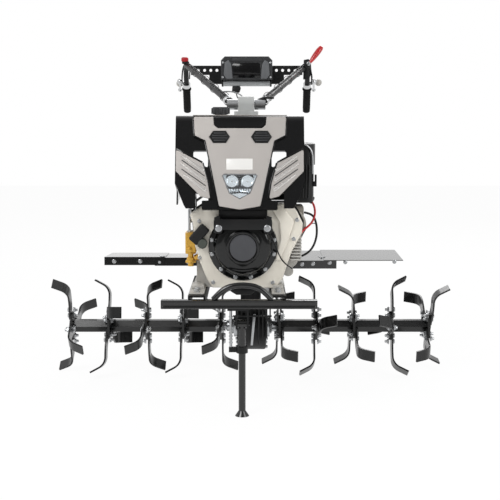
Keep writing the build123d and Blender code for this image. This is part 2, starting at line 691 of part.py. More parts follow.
def tank_brackets():
    """Sheet brackets from the crankcase up to the fuel tank, before and behind the cylinder."""
    brackets = []
    gap = CYLINDER_HALF_DEPTH + 6
    for y0 in (CYLINDER_Y - gap - 4, CYLINDER_Y + gap):
        y1 = y0 + 4
        plate = block(ENGINE_X - 48, ENGINE_X + 44, y0, y1, CRANKCASE_TOP_Z, TANK_BOTTOM_Z)
        plate -= block(ENGINE_X - 26, ENGINE_X + 22, y0 - 1, y1 + 1, CRANKCASE_TOP_Z + 60, TANK_BOTTOM_Z - 40)
        brackets.append(plate)
    return Compound(children=brackets)


# Frame, bumper and stand


def frame_rails():
    """Two rails under the engine, joined by a rear plate on the gear case."""
    rails = None
    back = BUMPER_FRONT_Y + BUMPER_DEPTH
    for x0, x1 in (RAIL_LEFT, RAIL_RIGHT):
        rail = block(x0, x1, back, RAIL_BACK_Y, RAIL_BOTTOM_Z, RAIL_TOP_Z)
        roof = RAIL_TOP_Z - RAIL_WALL
        rail -= block(x0 + RAIL_WALL, x1 - RAIL_WALL, back - 1, RAIL_BACK_Y + 1, RAIL_BOTTOM_Z - 1, roof)
        rails = rail if rails is None else rails + rail
    rails += block(RAIL_LEFT[0], RAIL_RIGHT[1], RAIL_BACK_Y, RAIL_BACK_Y + 8, RAIL_BOTTOM_Z, RAIL_TOP_Z)
    top = BOX_BOTTOM_Z + RAIL_SADDLE_HEIGHT
    rails += block(BOX_LEFT_X, BOX_RIGHT_X, RAIL_BACK_Y, BOX_FRONT_Y, BOX_BOTTOM_Z, top)
    return rails


def bumper_bar():
    """Channel bumper bar across the front, its open side forward."""
    bar = block(
        BUMPER_LEFT_X, BUMPER_RIGHT_X, BUMPER_FRONT_Y, BUMPER_FRONT_Y + BUMPER_DEPTH,
        BUMPER_BOTTOM_Z, BUMPER_TOP_Z,
    )
    groove = block(
        BUMPER_LEFT_X - 1, BUMPER_RIGHT_X + 1, BUMPER_FRONT_Y - 1, BUMPER_FRONT_Y + 8,
        BUMPER_BOTTOM_Z + 9, BUMPER_TOP_Z - 9,
    )
    return bar - groove


def bumper_arch():
    """Bent guard tube on the bumper bar."""
    y = BUMPER_FRONT_Y + BUMPER_DEPTH / 2
    top = ARCH_TOP_Z - ARCH_RADIUS
    points = [
        (ARCH_LEFT_X, y, BUMPER_TOP_Z), (ARCH_LEFT_X + 4, y, top),
        (ARCH_RIGHT_X - 4, y, top), (ARCH_RIGHT_X, y, BUMPER_TOP_Z),
    ]
    arch = pipe(points, [32, 32], ARCH_RADIUS)
    return arch - block(-400, 400, y - 40, y + 40, BUMPER_TOP_Z - 40, BUMPER_TOP_Z)


def stand_bracket():
    """Two ears under the bumper bar with the pivot pin of the stand."""
    x0 = STAND_X - STAND_EAR_GAP / 2
    x1 = STAND_X + STAND_EAR_GAP / 2
    y0, y1 = BUMPER_FRONT_Y + 2, STAND_PIVOT_Y + 18
    low = STAND_PIVOT_Z - 14
    bracket = block(x0 - STAND_EAR_THICK, x0, y0, y1, low, BUMPER_BOTTOM_Z)
    bracket += block(x1, x1 + STAND_EAR_THICK, y0, y1, low, BUMPER_BOTTOM_Z)
    bracket += block(
        x0 - 30, x1 + STAND_EAR_THICK, y0, y1, BUMPER_BOTTOM_Z - BRACKET_PLATE, BUMPER_BOTTOM_Z,
    )
    bracket += rod_x(
        STAND_PIN_RADIUS, x0 - STAND_EAR_THICK - 4, x1 + STAND_EAR_THICK + 4, STAND_PIVOT_Y, STAND_PIVOT_Z,
    )
    return bracket


def stand_leg():
    """Stand leg with an eye at the top and a flared foot, raked a little forward."""
    drop = STAND_PIVOT_Z
    lean = drop * sin(radians(STAND_RAKE)) / cos(radians(STAND_RAKE))
    foot_y = STAND_PIVOT_Y - lean
    eye_half = STAND_EAR_GAP / 2 - 1
    leg = rod_between((STAND_X, STAND_PIVOT_Y, STAND_PIVOT_Z), (STAND_X, foot_y, 0), STAND_RADIUS)
    leg += rod_x(STAND_RADIUS + 2, STAND_X - eye_half, STAND_X + eye_half, STAND_PIVOT_Y, STAND_PIVOT_Z)
    foot = Pos(STAND_X, foot_y, FOOT_HEIGHT / 2) * Cone(FOOT_RADIUS, STAND_RADIUS, FOOT_HEIGHT)
    leg += foot
    leg -= block(-100, 60, -600, -400, -20, 0)
    leg -= rod_x(STAND_PIN_RADIUS + RUNNING_GAP, STAND_X - 40, STAND_X + 40, STAND_PIVOT_Y, STAND_PIVOT_Z)
    return leg


def stand_collar():
    """Clamp collar on the leg, with the lug that the spring hooks on."""
    y = STAND_PIVOT_Y - (STAND_PIVOT_Z - COLLAR_Z) * sin(radians(STAND_RAKE))
    ring = rod_z(COLLAR_RADIUS, COLLAR_Z - COLLAR_HEIGHT / 2, COLLAR_Z + COLLAR_HEIGHT / 2, STAND_X, y)
    lug = block(
        STAND_X - STAND_EAR_GAP / 2 - 26, STAND_X, y - 5, y + 5, COLLAR_Z - COLLAR_LUG, COLLAR_Z + COLLAR_LUG,
    )
    return (ring + lug) - stand_leg()


def stand_spring():
    """Over-centre spring from the bracket to the collar: a stack of turns on a rod."""
    y = STAND_PIVOT_Y - 4
    x = STAND_X - STAND_EAR_GAP / 2 - 20
    low, high = COLLAR_Z + COLLAR_LUG + SEAT_GAP, BUMPER_BOTTOM_Z - BRACKET_PLATE - SEAT_GAP
    spring = rod_z(SPRING_RADIUS - SPRING_WIRE, low, high, x, y)
    pitch = (high - low - 24) / SPRING_TURNS
    for turn in range(SPRING_TURNS):
        z = low + 12 + pitch * turn
        spring += rod_z(SPRING_RADIUS, z, z + 2 * SPRING_WIRE, x, y)
    return spring


# Fenders


def fender_place(side):
    """The tilted plane that one side's fender sheets lie in."""
    tilt = FENDER_TILT_LEFT if side < 0 else FENDER_TILT_RIGHT
    return Pos(0, 0, FENDER_Z) * Rot(tilt, 0, 0)


def fender_panel(side, span, level, front_lip):
    """A fender sheet with a folded lip along its front or back edge."""
    x0, x1 = span
    y = FENDER_HALF_DEPTH + level * FENDER_LIP_THICK
    z = level * FENDER_SHEET
    sheet = block(x0, x1, -y, y, z, z + FENDER_SHEET)
    if front_lip:
        sheet += block(x0, x1, -y, -y + FENDER_LIP_THICK, z - FENDER_LIP, z + FENDER_SHEET)
    else:
        sheet += block(x0, x1, y - FENDER_LIP_THICK, y, z - FENDER_LIP, z + FENDER_SHEET)
    return fender_place(side) * sheet


def fender_bars():
    """Flat bars from the gear case that carry the inner fender sheets."""
    bars = []
    left_end = LEFT_INNER_FENDER[1] - 60
    right_end = RIGHT_INNER_FENDER[0] + 60
    for side, wall, far in ((-1, BOX_LEFT_X, left_end), (1, BOX_RIGHT_X, right_end)):
        low, high = sorted((wall, far))
        bar = block(low, high, -FENDER_BAR_HALF_DEPTH, FENDER_BAR_HALF_DEPTH, -FENDER_BAR_THICK, 0)
        bars.append(fender_place(side) * bar)
    return Compound(children=bars)


# Handlebar


def handle_column():
    """Cast column from the gear case lid up to the turntable."""
    foot = Pos(HANDLE_X, COLUMN_FOOT_Y, BOX_TOP_Z + LID_THICK) * Rectangle(96, 100)
    top_z = COLUMN_TOP_Z - TURNTABLE_THICK
    head = Pos(HANDLE_X, COLUMN_TOP_Y, top_z) * Rectangle(52, 58)
    column = loft(Sketch() + [foot, head])
    column += rod_z(TURNTABLE_RADIUS, top_z, COLUMN_TOP_Z, HANDLE_X, COLUMN_TOP_Y)
    bore = rod_z(
        SWIVEL_PIN_RADIUS + RUNNING_GAP, COLUMN_TOP_Z - SWIVEL_PIN_LENGTH - 1, COLUMN_TOP_Z + 1,
        HANDLE_X, COLUMN_TOP_Y,
    )
    return column - bore


def handle_base():
    """Swivelling head on the turntable, bored for the tilt shaft."""
    low = COLUMN_TOP_Z + RUNNING_GAP
    disc = rod_z(TURNTABLE_RADIUS, low, low + BASE_DISC_THICK, HANDLE_X, COLUMN_TOP_Y)
    head = block(
        HANDLE_X - BASE_HALF_WIDTH, HANDLE_X + BASE_HALF_WIDTH,
        COLUMN_TOP_Y - BASE_HALF_DEPTH, COLUMN_TOP_Y + BASE_HALF_DEPTH, low, TILT_Z,
    )
    head += rod_x(
        BASE_HALF_DEPTH, HANDLE_X - BASE_HALF_WIDTH, HANDLE_X + BASE_HALF_WIDTH, TILT_Y, TILT_Z,
    )
    pin = rod_z(SWIVEL_PIN_RADIUS, COLUMN_TOP_Z - SWIVEL_PIN_LENGTH, low + 1, HANDLE_X, COLUMN_TOP_Y)
    bore = rod_x(TILT_SHAFT_RADIUS + RUNNING_GAP, HANDLE_X - 60, HANDLE_X + 60, TILT_Y, TILT_Z)
    return (disc + head + pin) - bore


def handle_yoke():
    """Tilt shaft with a clamp hub at each end that takes the arms."""
    start = BASE_HALF_WIDTH + 1
    yoke = rod_x(TILT_SHAFT_RADIUS, HANDLE_X - start - 2, HANDLE_X + start + 2, TILT_Y, TILT_Z)
    for side in (-1, 1):
        low, high = sorted((HANDLE_X + side * start, HANDLE_X + side * (start + HUB_LENGTH)))
        yoke += rod_x(HUB_RADIUS, low, high, TILT_Y, TILT_Z)
    return yoke


def arm_points(side):
    """The path of one handlebar arm, from its hub to the end of the grip."""
    return [
        (HANDLE_X + side * ARM_FOOT_SPREAD, TILT_Y, TILT_Z),
        (HANDLE_X + side * ARM_SPREAD, ARM_CORNER_Y, ARM_CORNER_Z),
        (HANDLE_X + side * (ARM_SPREAD + 4), ARM_END_Y, ARM_END_Z),
    ]


def handle_arm(side):
    """One handlebar arm: a bent steel tube."""
    return pipe(arm_points(side), [ARM_BEND], ARM_RADIUS) - handle_yoke()


def along(start, end, share):
    """A point part of the way from start to end."""
    return tuple(a + (b - a) * share for a, b in zip(start, end))


def handle_grips():
    """Rubber grips over the ends of both arms."""
    grips = []
    for side in (-1, 1):
        corner, end = arm_points(side)[1:]
        length = sqrt(sum((a - b) ** 2 for a, b in zip(corner, end)))
        start = along(end, corner, GRIP_LENGTH / length)
        cap = along(corner, end, 1 + 5 / length)
        grips.append(rod_between(start, cap, GRIP_RADIUS) - rod_between(corner, end, ARM_RADIUS))
    return Compound(children=grips)


def hand_levers():
    """Ball-ended alloy levers with their clamps, in front of the grips."""
    levers = []
    for side in (-1, 1):
        corner, end = arm_points(side)[1:]
        length = sqrt(sum((a - b) ** 2 for a, b in zip(corner, end)))
        low = along(end, corner, (GRIP_LENGTH + 2) / length)
        high = along(end, corner, (GRIP_LENGTH + 20) / length)
        x, y, z = along(low, high, 0.5)
        knuckle = (x + side * 28, y - 8, z + 16)
        tip = (x + side * 34, y + 78, z - 18)
        lever = Pos(*knuckle) * Sphere(13)
        lever += rod_between((x, y, z), knuckle, 7)
        lever += rod_between(knuckle, tip, 5)
        lever += Pos(*tip) * Sphere(9)
        lever += rod_between(low, high, ARM_RADIUS + 6)
        levers.append(lever - rod_between(corner, end, ARM_RADIUS))
    return Compound(children=levers)


def console():
    """Dark instrument console between the arms."""
    half = CONSOLE_WIDTH / 2
    box = block(
        HANDLE_X - half, HANDLE_X + half, CONSOLE_FRONT_Y, CONSOLE_BACK_Y, CONSOLE_BOTTOM_Z, CONSOLE_TOP_Z,
    )
    corners = box.edges().filter_by(Axis.Y).group_by(Axis.Z)
    box = chamfer(corners[-1], 16)
    return fillet(box.edges().group_by(Axis.Y)[0], 5)


def console_roll():
    """Grey tube under the console."""
    half = CONSOLE_WIDTH / 2 - 8
    y = (CONSOLE_FRONT_Y + CONSOLE_BACK_Y) / 2
    return rod_x(ROLL_RADIUS, HANDLE_X - half, HANDLE_X + half, y, CONSOLE_BOTTOM_Z - ROLL_RADIUS)


def cross_brace():
    """Flat cross plate behind the console, welded to both arms, with stepped tabs."""
    left, right = arm_at_height(-1), arm_at_height(1)
    plate = block(left, right, CONSOLE_BACK_Y, CONSOLE_BACK_Y + BRACE_THICK, BRACE_BOTTOM_Z, BRACE_TOP_Z)
    for side in (-1, 1):
        near, far = HANDLE_X + side * 92, HANDLE_X + side * 158
        low, high = sorted((near, far))
        back = CONSOLE_BACK_Y + BRACE_THICK
        plate += block(low, high, CONSOLE_BACK_Y, back, BRACE_BOTTOM_Z - 38, BRACE_BOTTOM_Z + 4)
        for step in range(4):
            x = HANDLE_X + side * (126 + step * 26)
            plate -= rod_y(6, CONSOLE_BACK_Y - 1, CONSOLE_BACK_Y + 9, x, (BRACE_BOTTOM_Z + BRACE_TOP_Z) / 2)
    return plate - handle_arm(-1) - handle_arm(1)


def arm_at_height(side):
    """Where an arm's centre line passes the cross plate."""
    start, corner = arm_points(side)[:2]
    share = (CONSOLE_BACK_Y - start[1]) / (corner[1] - start[1])
    return start[0] + (corner[0] - start[0]) * share


def red_lever():
    """Red differential lever standing on the right arm's bracket."""
    start, corner = arm_points(1)[:2]
    x, y, z = along(start, corner, 0.9)
    plate = block(x, x + 24, y - 2, y + 2, z - 44, z + 34)
    lever = rod_between((x + 20, y, z + 20), (x + 76, y + 18, z + 104), 6)
    return plate + lever - handle_arm(1)


def gear_lever():
    """Shift lever from the gear case lid, with a round knob."""
    low = BOX_TOP_Z + LID_THICK
    lever = rod_z(14, low, low + 20, BOX_RIGHT_X - 30, 20)
    path = [(BOX_RIGHT_X - 30, 20, low + 10), (BOX_RIGHT_X - 30, 60, 780), (BOX_RIGHT_X + 10, 300, 870)]
    lever += pipe(path, [80], 6)
    lever += Pos(BOX_RIGHT_X + 10, 300, 870) * Sphere(17)
    return lever


def parts():
    """Every sub-part by name."""
    shell = hood_shell()
    return {
        "gearbox_housing": gearbox(),
        "gearbox_lid": gearbox_lid(),
        "axle_seals": axle_seals(),
        "clutch_housing": clutch_housing(),
        "rear_hitch": rear_hitch(),
        "crankcase": crankcase(),
        "cylinder": cylinder(),
        "cylinder_head": cylinder_head(),
        "rocker_cover": rocker_cover(),
        "fan_shroud": fan_shroud(),
        "recoil_starter": recoil_starter(),
        "recoil_badge": recoil_badge(),
        "recoil_handle": recoil_handle(),
        "air_filter": air_filter(),
        "intake_elbow": intake_elbow(),
        "muffler": muffler(),
        "muffler_shield": muffler_shield(),
        "injection_pump": injection_pump(),
        "injection_line": injection_line(),
        "starter_motor": starter_motor(),
        "voltage_regulator": voltage_regulator(),
        "fuel_tank": fuel_tank(),
        "fuel_cap": fuel_cap(),
        "hood_shell": shell,
        "hood_centre_panel": centre_panel(),
        "hood_wings": hood_wings(shell),
        "headlamp_housing": headlamp_housing(),
        "headlamp_lens": headlamp_lens(),
        "hood_posts": hood_posts(shell),
        "tank_brackets": tank_brackets(),
        "frame_rails": frame_rails(),
        "bumper_bar": bumper_bar(),
        "bumper_arch": bumper_arch(),
        "stand_bracket": stand_bracket(),
        "stand_leg": stand_leg(),
        "stand_collar": stand_collar(),
        "stand_spring": stand_spring(),
        "fender_bars": fender_bars(),
        "fender_left_inner": fender_panel(-1, LEFT_INNER_FENDER, 0, True),
        "fender_left_outer": fender_panel(-1, LEFT_OUTER_FENDER, 1, True),
        "fender_right_inner": fender_panel(1, RIGHT_INNER_FENDER, 0, True),
        "fender_right_outer": fender_panel(1, RIGHT_OUTER_FENDER, 1, False),
        "rotor_shaft": rotor_shaft(),
        "rotor_tube_left": rotor_tube(-1),
        "rotor_tube_right": rotor_tube(1),
        "tine_discs_left": tine_discs(-1),
        "tine_discs_right": tine_discs(1),
        "handle_column": handle_column(),
        "handle_base": handle_base(),
        "handle_yoke": handle_yoke(),
        "handle_arm_left": handle_arm(-1),
        "handle_arm_right": handle_arm(1),
        "handle_grips": handle_grips(),
        "hand_levers": hand_levers(),
        "console": console(),
        "console_roll": console_roll(),
        "cross_brace": cross_brace(),
        "red_lever": red_lever(),
        "gear_lever": gear_lever(),
    }


def write_parts():
    """Move the model so that its origin is at the middle of its base, and write each sub-part."""
    os.makedirs("parts", exist_ok=True)
    shapes = parts()
    boxes = [shape.bounding_box() for shape in shapes.values()]
    low = [min(getattr(box.min, axis) for box in boxes) for axis in "XYZ"]
    high = [max(getattr(box.max, axis) for box in boxes) for axis in "XYZ"]
    move = Pos(-(low[0] + high[0]) / 2, -(low[1] + high[1]) / 2, -low[2])
    print("origin moved by", -(low[0] + high[0]) / 2, -(low[1] + high[1]) / 2, -low[2])
    for name, shape in shapes.items():
        export_step(move * shape, f"parts/{name}.step")


write_parts()
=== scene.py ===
import math
import bpy
from mathutils import Matrix, Vector


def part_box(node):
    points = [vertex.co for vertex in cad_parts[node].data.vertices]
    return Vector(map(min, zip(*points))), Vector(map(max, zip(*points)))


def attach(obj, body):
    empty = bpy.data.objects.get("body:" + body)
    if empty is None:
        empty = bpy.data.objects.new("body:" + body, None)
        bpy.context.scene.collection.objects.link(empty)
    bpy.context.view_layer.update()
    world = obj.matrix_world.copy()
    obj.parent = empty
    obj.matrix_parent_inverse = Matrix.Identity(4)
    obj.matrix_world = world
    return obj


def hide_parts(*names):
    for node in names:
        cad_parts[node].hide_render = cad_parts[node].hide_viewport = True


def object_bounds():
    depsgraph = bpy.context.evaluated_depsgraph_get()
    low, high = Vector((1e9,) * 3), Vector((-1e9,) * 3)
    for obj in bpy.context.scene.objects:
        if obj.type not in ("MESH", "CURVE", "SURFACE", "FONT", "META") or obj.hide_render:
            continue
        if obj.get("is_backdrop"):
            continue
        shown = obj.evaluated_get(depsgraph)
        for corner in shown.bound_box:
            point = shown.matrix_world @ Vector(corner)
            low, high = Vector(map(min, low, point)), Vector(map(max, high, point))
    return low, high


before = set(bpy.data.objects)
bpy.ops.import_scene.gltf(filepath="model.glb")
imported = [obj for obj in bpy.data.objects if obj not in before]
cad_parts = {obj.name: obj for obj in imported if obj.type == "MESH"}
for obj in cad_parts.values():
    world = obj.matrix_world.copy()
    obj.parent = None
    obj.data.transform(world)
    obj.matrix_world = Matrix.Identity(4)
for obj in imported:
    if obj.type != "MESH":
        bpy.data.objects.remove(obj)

cad_low, cad_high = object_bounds()
bpy.ops.object.select_all(action="DESELECT")

# The machine stands on a plain white studio floor of matt paper that runs out of sight. Where the
# camera, gloss or glass sees it, most of it glows white, and the rest shows the machine's shadow.
FLOOR_HALF = 9.0
FLOOR_WHITE = "F7F7F6"
PAPER_GLOW = 0.94


def linear(code):
    """An sRGB hex colour as linear red, green, blue and alpha."""
    values = [int(code[i:i + 2], 16) / 255 for i in (0, 2, 4)]
    return [v / 12.92 if v <= 0.04045 else ((v + 0.055) / 1.055) ** 2.4 for v in values] + [1.0]


def add(tree, kind, settings=None, **sockets):
    """Add a node; each socket gets a value, or a link from another node's output."""
    node = tree.nodes.new(kind)
    for key, value in (settings or {}).items():
        setattr(node, key, value)
    for key, value in sockets.items():
        name = int(key[1:]) if key[0] == "i" and key[1:].isdigit() else key.replace("_", " ")
        if isinstance(value, bpy.types.NodeSocket):
            tree.links.new(value, node.inputs[name])
        else:
            node.inputs[name].default_value = value
    return node


def blank_material(name):
    """A material with an empty tree and its output node."""
    material = bpy.data.materials.new(name)
    material.use_nodes = True
    material.node_tree.nodes.clear()
    return material, material.node_tree, add(material.node_tree, "ShaderNodeOutputMaterial")


paper, tree, out = blank_material("studio_paper")
matt = add(tree, "ShaderNodeBsdfDiffuse", Color=linear(FLOOR_WHITE))
glow = add(tree, "ShaderNodeEmission", Color=(1, 1, 1, 1), Strength=1.0)
path = add(tree, "ShaderNodeLightPath")
gloss_or_glass = add(tree, "ShaderNodeMath", {"operation": "MAXIMUM"},
                     i0=path.outputs["Is Glossy Ray"], i1=path.outputs["Is Transmission Ray"])
any_sight = add(tree, "ShaderNodeMath", {"operation": "MAXIMUM"},
                i0=path.outputs["Is Camera Ray"], i1=gloss_or_glass.outputs[0])
seen = add(tree, "ShaderNodeMath", {"operation": "MULTIPLY"}, i0=any_sight.outputs[0], i1=PAPER_GLOW)
both = add(tree, "ShaderNodeMixShader", i0=seen.outputs[0], i1=matt.outputs[0], i2=glow.outputs[0])
tree.links.new(both.outputs[0], out.inputs["Surface"])
bpy.ops.mesh.primitive_plane_add(size=2 * FLOOR_HALF, location=(0, 0, 0))
floor = bpy.context.object
floor.name = "studio_floor"
floor.data.materials.append(paper)
floor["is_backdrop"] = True
floor.select_set(False)

# The world is a soft white tent: pure white where the camera, glass or gloss sees its back, and
# dimmer behind the camera. It lights the machine plainly, with three soft lamps for the shape.
TENT_FRONT = 0.16
TENT_BACK = 0.85
TENT_FROM = -1.0
TENT_TO = 0.35
world = bpy.data.worlds.new("tent")
bpy.context.scene.world = world
world.use_nodes = True
world.node_tree.nodes.clear()
tree = world.node_tree
out = add(tree, "ShaderNodeOutputWorld")
path = add(tree, "ShaderNodeLightPath")
shown = add(tree, "ShaderNodeMath", {"operation": "MAXIMUM"},
            i0=path.outputs["Is Camera Ray"], i1=path.outputs["Is Transmission Ray"])
aim = add(tree, "ShaderNodeSeparateXYZ", Vector=add(tree, "ShaderNodeTexCoord").outputs["Generated"])
tent = add(tree, "ShaderNodeMapRange", Value=aim.outputs["Y"], From_Min=TENT_FROM, From_Max=TENT_TO,
           To_Min=TENT_FRONT, To_Max=TENT_BACK)
backdrop = add(tree, "ShaderNodeMapRange", Value=aim.outputs["Y"], From_Min=TENT_FROM, From_Max=TENT_TO,
               To_Min=TENT_FRONT, To_Max=1.0)
gloss_level = add(tree, "ShaderNodeMix", {"data_type": "FLOAT"}, i0=path.outputs["Is Glossy Ray"],
                  i2=tent.outputs[0], i3=backdrop.outputs[0])
lamp_level = add(tree, "ShaderNodeMix", {"data_type": "FLOAT"}, i0=shown.outputs[0],
                 i2=gloss_level.outputs[0], i3=1.0)
sky = add(tree, "ShaderNodeBackground", Color=(1, 1, 1, 1), Strength=lamp_level.outputs[0])
tree.links.new(sky.outputs[0], out.inputs["Surface"])


def soft_lamp(name, place, aim, size, watts):
    """A square soft box at a place, turned to its aim."""
    data = bpy.data.lights.new(name, "AREA")
    data.size = size
    data.energy = watts
    lamp = bpy.data.objects.new(name, data)
    lamp.location = place
    lamp.rotation_euler = (Vector(aim) - Vector(place)).to_track_quat("-Z", "Y").to_euler()
    bpy.context.scene.collection.objects.link(lamp)


soft_lamp("key_lamp", (-2.2, -3.0, 3.2), (0, 0, 0.6), 2.0, 105)
soft_lamp("fill_lamp", (2.8, -2.4, 2.0), (0, 0, 0.5), 2.2, 62)
soft_lamp("back_lamp", (0.6, 3.4, 3.0), (0, 0, 0.7), 2.0, 50)

# The camera stands square in front of the machine, about as high as the hood's roof, and looks
# down a little. Its focal length and place were fitted to the landmarks of the photograph.
CAMERA_PLACE = (0.0, cad_low[1] - 2.971, 0.937)
CAMERA_PITCH = 7.92
FOCAL_PIXELS = 992.0
IMAGE_PIXELS = 500.0
lens = bpy.data.cameras.new("camera")
lens.sensor_width = 36.0
lens.lens = lens.sensor_width * FOCAL_PIXELS / IMAGE_PIXELS
camera = bpy.data.objects.new("camera", lens)
camera.location = CAMERA_PLACE
camera.rotation_euler = (math.radians(90 - CAMERA_PITCH), 0, 0)
bpy.context.scene.collection.objects.link(camera)
bpy.context.scene.camera = camera
bpy.context.scene.view_settings.view_transform = "Standard"

# Frame, muffler, arms and brackets are mild steel, shot blasted and powder coated satin black;
# fenders, guard and stand are the same steel in gloss. Field dust lies on both as a faint haze.
MILLIMETRE = 0.001
PATCH_SCALE = 14.0
BUMP_STRENGTH = 0.6
COAT_ROUGHNESS = 0.06


def coated(name, colour, dust, roughness, peel_mm, depth, metallic=0.0, coat=0.0,
           spread=0.25, gloss=0.4):
    """A coated or moulded surface: a base colour that varies a little, and a fine relief."""
    material, tree, out = blank_material(name)
    place = add(tree, "ShaderNodeTexCoord").outputs["Object"]
    broad = add(tree, "ShaderNodeTexNoise", Vector=place, Scale=PATCH_SCALE, Detail=4.0)
    fine = add(tree, "ShaderNodeTexNoise", Vector=place, Scale=1 / (peel_mm * MILLIMETRE), Detail=2.0)
    amount = add(tree, "ShaderNodeMapRange", Value=broad.outputs["Fac"], From_Min=0.35, From_Max=0.75,
                 To_Min=0.0, To_Max=spread)
    tint = add(tree, "ShaderNodeMix", {"data_type": "RGBA"}, i0=amount.outputs[0],
               i6=linear(colour), i7=linear(dust))
    rough = add(tree, "ShaderNodeMapRange", Value=broad.outputs["Fac"], From_Min=0.3, From_Max=0.8,
                To_Min=roughness * 0.88, To_Max=min(1.0, roughness * 1.18))
    bump = add(tree, "ShaderNodeBump", Strength=BUMP_STRENGTH, Distance=depth * MILLIMETRE,
               Height=fine.outputs["Fac"])
    skin = add(tree, "ShaderNodeBsdfPrincipled", Base_Color=tint.outputs[2], Metallic=metallic,
               Roughness=rough.outputs[0], Normal=bump.outputs[0])
    skin.inputs["Specular IOR Level"].default_value = gloss
    skin.inputs["Coat Weight"].default_value = coat
    skin.inputs["Coat Roughness"].default_value = COAT_ROUGHNESS
    tree.links.new(skin.outputs[0], out.inputs["Surface"])
    return material


def dress(material, *names):
    """Give CAD nodes a material."""
    for name in names:
        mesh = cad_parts[name].data
        mesh.materials.clear()
        mesh.materials.append(material)


black_steel = coated("powder_coated_steel", "0D0E0F", "1F1E1C", 0.42, 1.6, 0.05, gloss=0.3)
dress(black_steel, "frame_rails", "stand_bracket", "stand_collar", "fender_bars", "muffler", "hood_posts",
      "tank_brackets", "handle_arm_left", "handle_arm_right", "cross_brace", "gear_lever")
fender_gloss = coated("gloss_black_powder_coat", "0A0B0B", "191817", 0.16, 2.4, 0.02, coat=0.5)
dress(fender_gloss, "fender_left_inner", "fender_left_outer", "fender_right_inner", "fender_right_outer",
      "bumper_bar", "bumper_arch", "stand_leg")

# The final drive, gear case, hitch and finned cylinder are sand cast iron, painted a thin dark
# grey, so the grain of the sand still shows through.
cast_iron = coated("painted_cast_iron", "161718", "2B2927", 0.55, 2.4, 0.35, gloss=0.3)
dress(cast_iron, "gearbox_housing", "gearbox_lid", "rear_hitch", "cylinder")

# Crankcase, head, starter and clutch bell are die cast aluminium, shot blasted and left bare,
# and bolted together.
alloy_casting = coated("die_cast_aluminium", "B3B1AC", "9B9790", 0.46, 1.2, 0.12, metallic=0.25)
dress(alloy_casting, "crankcase", "clutch_housing", "cylinder_head", "rocker_cover", "intake_elbow",
      "voltage_regulator", "starter_motor")

# The fan shroud is pressed steel in stoved warm cream enamel with a soft gloss, bolted to the
# crankcase.
cream_enamel = coated("cream_enamel", "D3CEC3", "BDB5A5", 0.34, 3.0, 0.03, coat=0.3)
dress(cream_enamel, "fan_shroud")

# The recoil starter is pressed steel in black gloss enamel, bolted to the shroud. A turned cover
# further on stands for it, and its plain solid has the same finish.
gloss_enamel = coated("black_gloss_enamel", "070808", "111112", 0.16, 4.0, 0.03, coat=0.35, gloss=0.3)
dress(gloss_enamel, "recoil_starter")

# The hood is injection moulded ABS in piano black; its panels are the same plastic, sprayed
# with a fine silver metallic lacquer.
gloss_abs = coated("gloss_black_abs", "070708", "101011", 0.14, 6.0, 0.02, coat=0.35, gloss=0.3)
dress(gloss_abs, "hood_shell")
silver_lacquer = coated("silver_lacquer_on_abs", "BDB8B4", "B2ADA8", 0.32, 2.0, 0.02, metallic=0.45, coat=0.4)
dress(silver_lacquer, "hood_centre_panel", "hood_wings")

# Tank and pull handle are moulded polypropylene with a fine spark grain. Console and cap are dark
# grey ABS, and the badge is a satin moulding pressed into the starter.
black_pp = coated("grained_black_polypropylene", "111213", "201F1E", 0.6, 1.0, 0.12, gloss=0.3)
dress(black_pp, "fuel_tank", "recoil_handle")
grey_abs = coated("dark_grey_abs", "2C2D2F", "393939", 0.5, 1.0, 0.1, gloss=0.3)
dress(grey_abs, "console", "fuel_cap")
badge_grey = coated("badge_satin_black", "36373B", "45464A", 0.36, 2.0, 0.02, coat=0.4)
dress(badge_grey, "recoil_badge")

# Grips are moulded natural rubber, matt and faintly dusty, pushed on to the ends of the
# handlebar's tubes.
grip_rubber = coated("moulded_rubber", "0E0E0E", "1D1C1B", 0.78, 1.4, 0.15, gloss=0.25)
dress(grip_rubber, "handle_grips")

# Shaft, seals, spring, yoke and injection line are bright zinc plated steel. The injection pump
# is steel with a yellow chromate finish.
zinc_steel = coated("zinc_plated_steel", "B4B6B8", "9A9893", 0.3, 0.9, 0.02, metallic=1.0)
dress(zinc_steel, "axle_seals", "rotor_shaft", "stand_spring", "injection_line", "handle_yoke")
yellow_zinc = coated("yellow_passivated_zinc", "D6A94C", "B58A3C", 0.34, 1.2, 0.05, metallic=0.7)
dress(yellow_zinc, "injection_pump")

# The column and the swivel head are cast iron in light grey paint. The air cleaner's can is
# pressed steel in warm grey, and the console's tube is sprayed silver grey.
grey_paint = coated("light_grey_paint", "A9ABAA", "918F8A", 0.42, 2.2, 0.15)
dress(grey_paint, "handle_column", "handle_base")
warm_grey = coated("warm_grey_paint", "98938A", "857F75", 0.45, 2.0, 0.08)
dress(warm_grey, "air_filter")
roll_paint = coated("silver_grey_paint", "9DA0A2", "8E8D8A", 0.38, 2.0, 0.05, metallic=0.3)
dress(roll_paint, "console_roll")

# Hand levers are polished aluminium castings on clamps. The long lever is pressed steel in red
# gloss enamel.
bright_alloy = coated("polished_aluminium", "C9CACB", "B2B1AE", 0.22, 1.4, 0.03, metallic=1.0)
dress(bright_alloy, "hand_levers")
red_enamel = coated("red_gloss_enamel", "B3171B", "8E1417", 0.25, 3.0, 0.03, coat=0.5)
dress(red_enamel, "red_lever")

